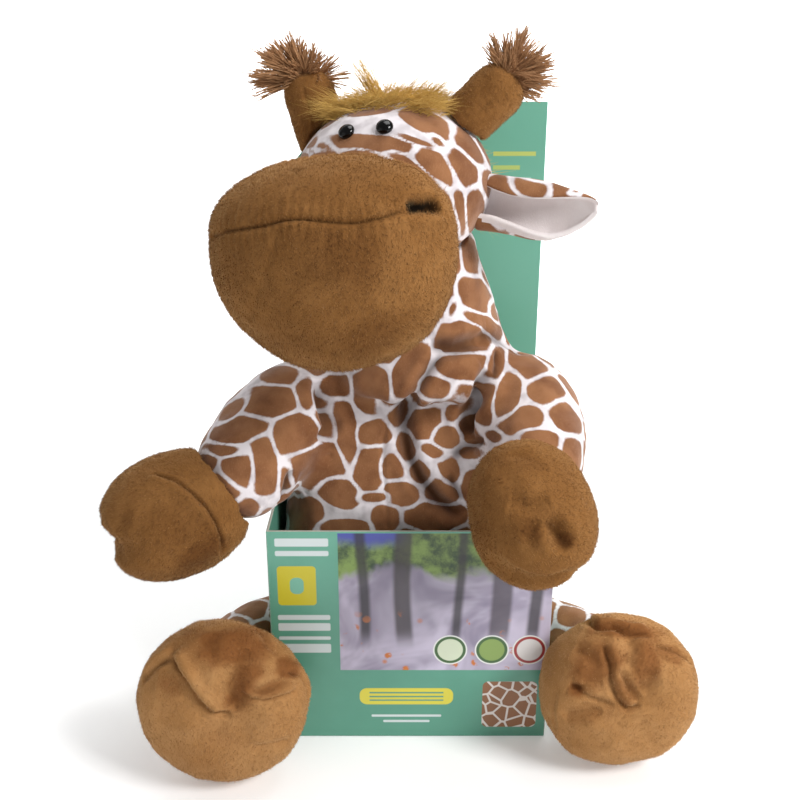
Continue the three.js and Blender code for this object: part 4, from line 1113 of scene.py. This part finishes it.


# Tones of the fuzz: dark, mid, light, and deepest for the deepest painted shade
BROWN_TONES = [(116, 76, 38), (140, 98, 54), (168, 124, 76), (92, 56, 28)]
TAN_TONES = [(148, 103, 60), (176, 132, 84), (200, 156, 106), (128, 84, 46)]
BROWN_FUZZ = fibre_materials("brown_fuzz", BROWN_TONES, 0.9)
TAN_FUZZ = fibre_materials("tan_fuzz", TAN_TONES, 0.9)
MUZZLE_BACK = -0.035
fuzz("muzzle_fuzz", muzzle, 44000, 1.5 * MM, 0.2 * MM, BROWN_FUZZ, (0.35, 0.0, -1.0), 101,
     keep=lambda places: (places[:, 1] < MUZZLE_BACK).astype(float))
for side, turn in SIDES.items():
    fuzz(f"hoof_{side}_fuzz", hooves[side], 20000, 1.4 * MM, 0.2 * MM, BROWN_FUZZ,
         (turn, -0.4, -0.6), 110 + len(side))
    fuzz(f"foot_{side}_fuzz", feet[side], 26000, 1.3 * MM, 0.2 * MM, TAN_FUZZ,
         (0.2, 0.0, -1.0), 120 + len(side))
    fuzz(f"horn_{side}_fuzz", horns[side], 7000, 1.3 * MM, 0.18 * MM, BROWN_FUZZ,
         (0.5, 0.0, -0.8), 130 + len(side))

# Display box: folded card, printed teal, with cut edges of bare board. Its print is placed in mm
CARD_EDGE = 0.45 * MM
INK_EDGE = 0.25
BOARD_TONES = [(178, 172, 160), (208, 203, 192)]
TEALS = [(82, 146, 124), (102, 166, 144)]
PALE, YELLOW, RUBBED, SHADE = (206, 216, 216), (214, 204, 66), (200, 210, 204), (62, 92, 80)
# Tree trunks: across, half width and tone
TRUNKS = [(-24, 2.6, (34, 30, 34)), (-3, 4.2, (52, 44, 46)), (24, 2.2, (40, 36, 40)), (44, 5.0, (70, 62, 72)),
          (62, 3.0, (38, 34, 38))]
# Pale bars beside the picture: height and half height
PALE_BARS = [(114.0, 2.2), (108.0, 1.4), (72.0, 1.4), (66.5, 2.2), (60.0, 1.0), (54.0, 2.6)]
# Round badges: across, ring and middle
BADGES = [(20.0, (60, 96, 52), (206, 216, 190)), (41.0, (60, 96, 52), (132, 158, 84)),
          (60.0, (150, 44, 42), (214, 210, 208))]
# Bars high on the back panel: height, across, half width and tone
PANEL_BARS = [(286.0, 54.0, 11.0, (188, 196, 92)), (279.0, 50.0, 7.0, (176, 192, 96)),
              (273.0, 53.0, 10.0, (150, 200, 186))]


class Card:
    """The card's finish: its print, its rubbed folds and its cut edges."""

    def __init__(self):
        self.paint = Paint("card", Coat_Roughness=0.25, Specular_IOR_Level=0.45)
        self.x, self.y, self.z = self.paint.axes()
        self.mottle = self.paint.noise(60.0, 3.0)
        dark, light = (linear(tone) for tone in TEALS)
        fading = self.paint.ramp(self.z * 0.004 + self.mottle * 0.4, 0.1, 0.9)
        self.teal = self.paint.blend(dark, light, fading)
        self.colour = self.teal

    def bar(self, cx, cz, half_wide, half_high, corner=0.0):
        """1 inside an upright rectangle with rounded corners."""
        off_x = abs(self.x - cx) - (half_wide - corner)
        off_z = abs(self.z - cz) - (half_high - corner)
        across, up = off_x.most(0.0), off_z.most(0.0)
        inner = off_x.most(off_z).least(0.0)
        off = (across * across + up * up) ** 0.5 + inner - corner
        return 1.0 - self.paint.ramp(off, -INK_EDGE, INK_EDGE)

    def disc(self, cx, cz, radius):
        """1 inside an upright disc."""
        across, up = self.x - cx, self.z - cz
        off = (across * across + up * up) ** 0.5
        return 1.0 - self.paint.ramp(off - radius, -INK_EDGE, INK_EDGE)

    def ink(self, tone, shape):
        self.colour = self.paint.blend(self.colour, linear(tone), shape)

    def picture(self):
        """A soft wood, out of focus: ground, leaves, a piece of sky, trunks and small flowers."""
        paint, x, z = self.paint, self.x, self.z
        wash = paint.noise(28.0, 3.0, 0.6, warp=0.8)
        leaf = paint.noise(75.0, 4.0, 0.7)
        ground = paint.blend(linear((132, 124, 146)), linear((198, 190, 210)), paint.ramp(wash, 0.3, 0.7))
        foliage = paint.blend(linear((38, 62, 34)), linear((124, 150, 74)), paint.ramp(leaf, 0.35, 0.65))
        wood = paint.blend(ground, foliage, paint.ramp(z + (wash - 0.5) * 42.0, 92.0, 100.0))
        sky = paint.ramp(z + (wash - 0.5) * 16.0, 108.0, 116.0) * paint.ramp(x, 2.0, -8.0)
        wood = paint.blend(wood, linear((66, 74, 158)), sky)
        for cx, half, tone in TRUNKS:
            sway = (z * 0.05 + cx).wave() * 1.4
            trunk = 1.0 - paint.ramp(abs(x - cx + sway) - half, -1.4, 1.4)
            wood = paint.blend(wood, linear(tone), trunk * paint.ramp(z, 52.0, 66.0) * 0.85)
        bloom = 1.0 - paint.ramp(paint.cells(130.0), 0.2, 0.34)
        flower = bloom * paint.ramp(z, 80.0, 62.0) * paint.ramp(leaf, 0.5, 0.58)
        return paint.blend(wood, linear((196, 112, 44)), flower)

    def front(self):
        """The front's print: picture, bars, badges and a patch of giraffe print."""
        paint = self.paint
        self.colour = paint.blend(self.colour, self.picture(), self.bar(17.5, 80.0, 53.0, 39.0))
        for cz, half in PALE_BARS:
            self.ink(PALE, self.bar(-53.0, cz, 13.0, half, 0.8))
        self.ink((198, 186, 44), self.bar(-56.0, 90.0, 9.5, 11.0, 2.0))
        self.ink((118, 180, 158), self.bar(-56.0, 90.0, 3.4, 4.6, 3.0))
        for cx, ring, middle in BADGES:
            self.ink((228, 230, 226), self.disc(cx, 53.0, 8.6))
            self.ink(ring, self.disc(cx, 53.0, 7.9))
            self.ink(middle, self.disc(cx, 53.0, 6.4))
        self.ink(YELLOW, self.bar(-2.0, 25.0, 24.0, 5.0, 4.0))
        for cz in (27.2, 24.8, 22.6):
            self.colour = paint.blend(self.colour, self.teal, self.bar(-2.0, cz, 19.0, 0.45))
        for cz, half in [(13.0, 18.0), (9.6, 12.0)]:
            self.ink(PALE, self.bar(-2.0, cz, half, 0.7, 0.5))
        edge = paint.ramp(paint.cells(150.0, feature="DISTANCE_TO_EDGE"), 0.06, 0.1)
        giraffe = paint.blend(linear((222, 214, 208)), linear((140, 92, 56)), edge)
        self.colour = paint.blend(self.colour, giraffe, self.bar(51.0, 20.0, 14.0, 14.0, 3.0))
        on_front = paint.ramp(self.y, -50.2, -50.8, False)
        self.colour = paint.blend(self.teal, self.colour, on_front)

    def panel(self):
        """Thin bars on the inside of the tall back panel."""
        paint = self.paint
        on_panel = paint.ramp(self.y, 49.0, 49.4, False) * paint.ramp(self.y, 50.4, 50.0, False)
        for cz, cx, half, tone in PANEL_BARS:
            self.ink(tone, self.bar(cx, cz, half, 1.1) * on_panel * 0.85)

    def wear(self):
        """Folds that are rubbed pale toward the corners."""
        paint, side, ahead = self.paint, abs(self.x), abs(self.y)
        rub = paint.noise(700.0, 3.0, 0.7)
        corner = (70.0 - side).least(51.0 - ahead) + (rub - 0.5) * 1.2
        along_fold = (70.3 - side).most(51.3 - ahead)
        near_fold = 1.0 - paint.ramp(along_fold + (rub - 0.5) * 1.1, 0.35, 1.1)
        self.ink(RUBBED, near_fold * (1.0 - paint.ramp(corner, -0.4, 0.9)) * 0.5)

    def material(self):
        paint, y, z = self.paint, self.y, self.z
        self.front()
        self.panel()
        self.wear()
        inner = (abs(self.x) < 69.2) * (abs(y) < 50.2)
        below_top = 1.0 - paint.ramp(z, 120.3, 120.5, False)
        tray_rim = paint.ramp(z, 119.75, 119.95, False) * below_top * (y < 49.2)
        rim = tray_rim.most(paint.ramp(z, 311.7, 311.9, False))
        dark, light = (linear(tone) for tone in BOARD_TONES)
        board = paint.blend(dark, light, paint.noise(900.0, 3.0))
        self.colour = paint.blend(self.colour, board, rim * 0.9)
        self.ink(SHADE, inner * paint.ramp(z, 119.0, 60.0) * (y < 49.0) * 0.35)
        fibre = paint.noise(1400.0, 3.0, 0.6)
        grain_of_card = paint.bump(fibre + self.mottle * 2.0, 0.12, 0.3 * MM)
        paint.feed(Base_Color=self.colour, Roughness=0.3 + fibre * 0.18 + rim * 0.3,
                   Coat_Weight=0.25 * (1.0 - rim), Normal=grain_of_card)
        return paint.material


made = merged("display_box")
bmesh.ops.dissolve_limit(made, angle_limit=math.radians(2), verts=made.verts, edges=made.edges)
folded = [e for e in made.edges if len(e.link_faces) == 2 and e.calc_face_angle(0) > math.radians(40)]
bmesh.ops.bevel(made, geom=folded, offset=CARD_EDGE, offset_type="OFFSET", segments=2, profile=0.5,
                affect="EDGES", material=-1, clamp_overlap=True)
carton = from_bmesh("carton", made)
finished(carton, Card().material(), ["display_box"])
carton.data.shade_flat()

# Zip, webbing and buckle
web = Paint("webbing", Roughness=0.85, Sheen_Weight=0.25, Specular_IOR_Level=0.25)
x, _, z = web.axes()
twill = abs(((z + x * 0.5) * 0.42).part() - 0.5) * 2.0
rib = ((x * 4.6 + twill * 3.0).wave() * 0.5 + 0.5) * ((z * 5.2 + x * 2.0).wave() * 0.3 + 0.7)
yarn = web.noise(1500.0, 3.0, 0.6)
web.feed(Base_Color=web.blend(linear((62, 38, 22)), linear((116, 76, 44)), rib * 0.7 + yarn * 0.3),
         Normal=web.bump(rib + yarn * 0.5, 0.7, 0.0006))
straps = [f"{kind}_strap_{side}" for kind in ("shoulder", "chest") for side in SIDES]
for node in [*straps, "zipper"]:
    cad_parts[node].material_slots[0].material = web.material
buckle_paint = Paint("buckle", Specular_IOR_Level=0.5)
grainy = buckle_paint.noise(1600.0, 2.0)
buckle_paint.feed(Base_Color=buckle_paint.blend(linear((34, 26, 22)), linear((52, 41, 34)), grainy),
                  Roughness=0.34 + grainy * 0.2, Normal=buckle_paint.bump(grainy, 0.2, 0.0002))
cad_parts["zip_pull"].material_slots[0].material = buckle_paint.material


def block(made, low, high, rounding):
    """Adds a block with rounded edges, between two corners in mm."""
    low, high = Vector(low) * MM, Vector(high) * MM
    new = bmesh.ops.create_cube(made, size=1.0)["verts"]
    bmesh.ops.scale(made, vec=high - low, verts=new)
    bmesh.ops.translate(made, vec=(low + high) / 2, verts=new)
    edges = list({e for v in new for e in v.link_edges})
    bmesh.ops.bevel(made, geom=edges, offset=rounding * MM, segments=3, profile=0.5, affect="EDGES",
                    material=-1)


# Side-release buckle in mm: socket, bars of the strap ladders and their ends, spring arms and tongue
BUCKLE_BLOCKS = [
    ((-14.5, 54.4, 120.8), (6.0, 61.4, 126.0), 1.4),
    ((-14.5, 54.4, 137.6), (6.0, 61.4, 142.8), 1.4),
    ((-14.0, 54.8, 124.6), (6.5, 61.2, 139.0), 1.2),
    ((-22.8, 54.0, 119.2), (-19.6, 59.8, 144.4), 1.2),
    ((-22.0, 54.0, 118.6), (-12.5, 59.4, 122.6), 1.2),
    ((-22.0, 54.0, 141.0), (-12.5, 59.4, 145.0), 1.2),
    ((-17.2, 55.4, 120.0), (-15.0, 58.6, 143.6), 0.8),
    ((4.0, 55.6, 118.6), (12.0, 60.4, 122.2), 1.3),
    ((4.0, 55.6, 141.4), (12.0, 60.4, 145.0), 1.3),
    ((10.0, 54.4, 118.8), (14.6, 60.8, 144.8), 1.4),
    ((5.0, 56.4, 129.2), (12.0, 60.0, 134.4), 1.0),
    ((19.6, 54.0, 119.2), (22.8, 59.8, 144.4), 1.2),
    ((12.5, 54.0, 118.6), (22.0, 59.4, 122.0), 1.2),
    ((12.5, 54.0, 141.6), (22.0, 59.4, 145.0), 1.2),
    ((16.0, 55.4, 120.0), (18.2, 58.6, 143.6), 0.8),
]
made = bmesh.new()
for low, high, rounding in BUCKLE_BLOCKS:
    block(made, low, high, rounding)
finished(from_bmesh("buckle_shell", made), buckle_paint.material, ["chest_buckle"])

# Floor, backdrop and light
FLOOR_PROFILE = [(-6.0, 0.0), (1.3, 0.0), (1.7, 0.05), (2.0, 0.25), (2.15, 0.6), (2.2, 1.2), (2.2, 4.0)]
FLOOR_WIDTH = 12.0
FLOOR_UNDER = 0.4 * MM
made = bmesh.new()
spine = [made.verts.new((-FLOOR_WIDTH / 2, y, z - FLOOR_UNDER)) for y, z in FLOOR_PROFILE]
edges = [made.edges.new(pair) for pair in zip(spine[:-1], spine[1:])]
grown = bmesh.ops.extrude_edge_only(made, edges=edges)["geom"]
moved = [part for part in grown if isinstance(part, bmesh.types.BMVert)]
bmesh.ops.translate(made, verts=moved, vec=(FLOOR_WIDTH, 0, 0))
bmesh.ops.recalc_face_normals(made, faces=made.faces)
floor = from_bmesh("floor", made)
floor.data.shade_smooth()
floor_paint = Paint("floor", Roughness=0.9, Emission_Color=(1, 1, 1, 1), Emission_Strength=0.22)
greys = [(share, share, share, 1) for share in (0.87, 0.9)]
floor_paint.feed(Base_Color=floor_paint.blend(*greys, floor_paint.noise(3.0)))
floor.data.materials.append(floor_paint.material)

# Lamps: name, place, what each points at, size and power
LAMPS = [
    ("key", (0.95, -0.7, 1.0), (0, 0, 0.18), 0.5, 19.0),
    ("fill", (-1.1, -0.8, 0.5), (0, 0, 0.16), 1.0, 1.2),
    ("top", (0.25, 0.15, 1.5), (0, 0, 0.16), 0.8, 10.0),
    ("backdrop", (0.0, 0.8, 1.35), (0, 2.2, 0.9), 1.6, 60.0),
]
for name, place, aim, size, power in LAMPS:
    data = bpy.data.lights.new(name, "AREA")
    data.size = size
    data.energy = power
    lamp = bpy.data.objects.new(name, data)
    lamp.location = place
    lamp.rotation_euler = (Vector(aim) - Vector(place)).to_track_quat("-Z", "Y").to_euler()
    bpy.context.scene.collection.objects.link(lamp)
world = bpy.data.worlds.new("studio")
world.use_nodes = True
background = world.node_tree.nodes["Background"].inputs
background["Color"].default_value = (1, 1, 1, 1)
background["Strength"].default_value = 0.28
bpy.context.scene.world = world
bpy.context.scene.view_settings.view_transform = "Standard"
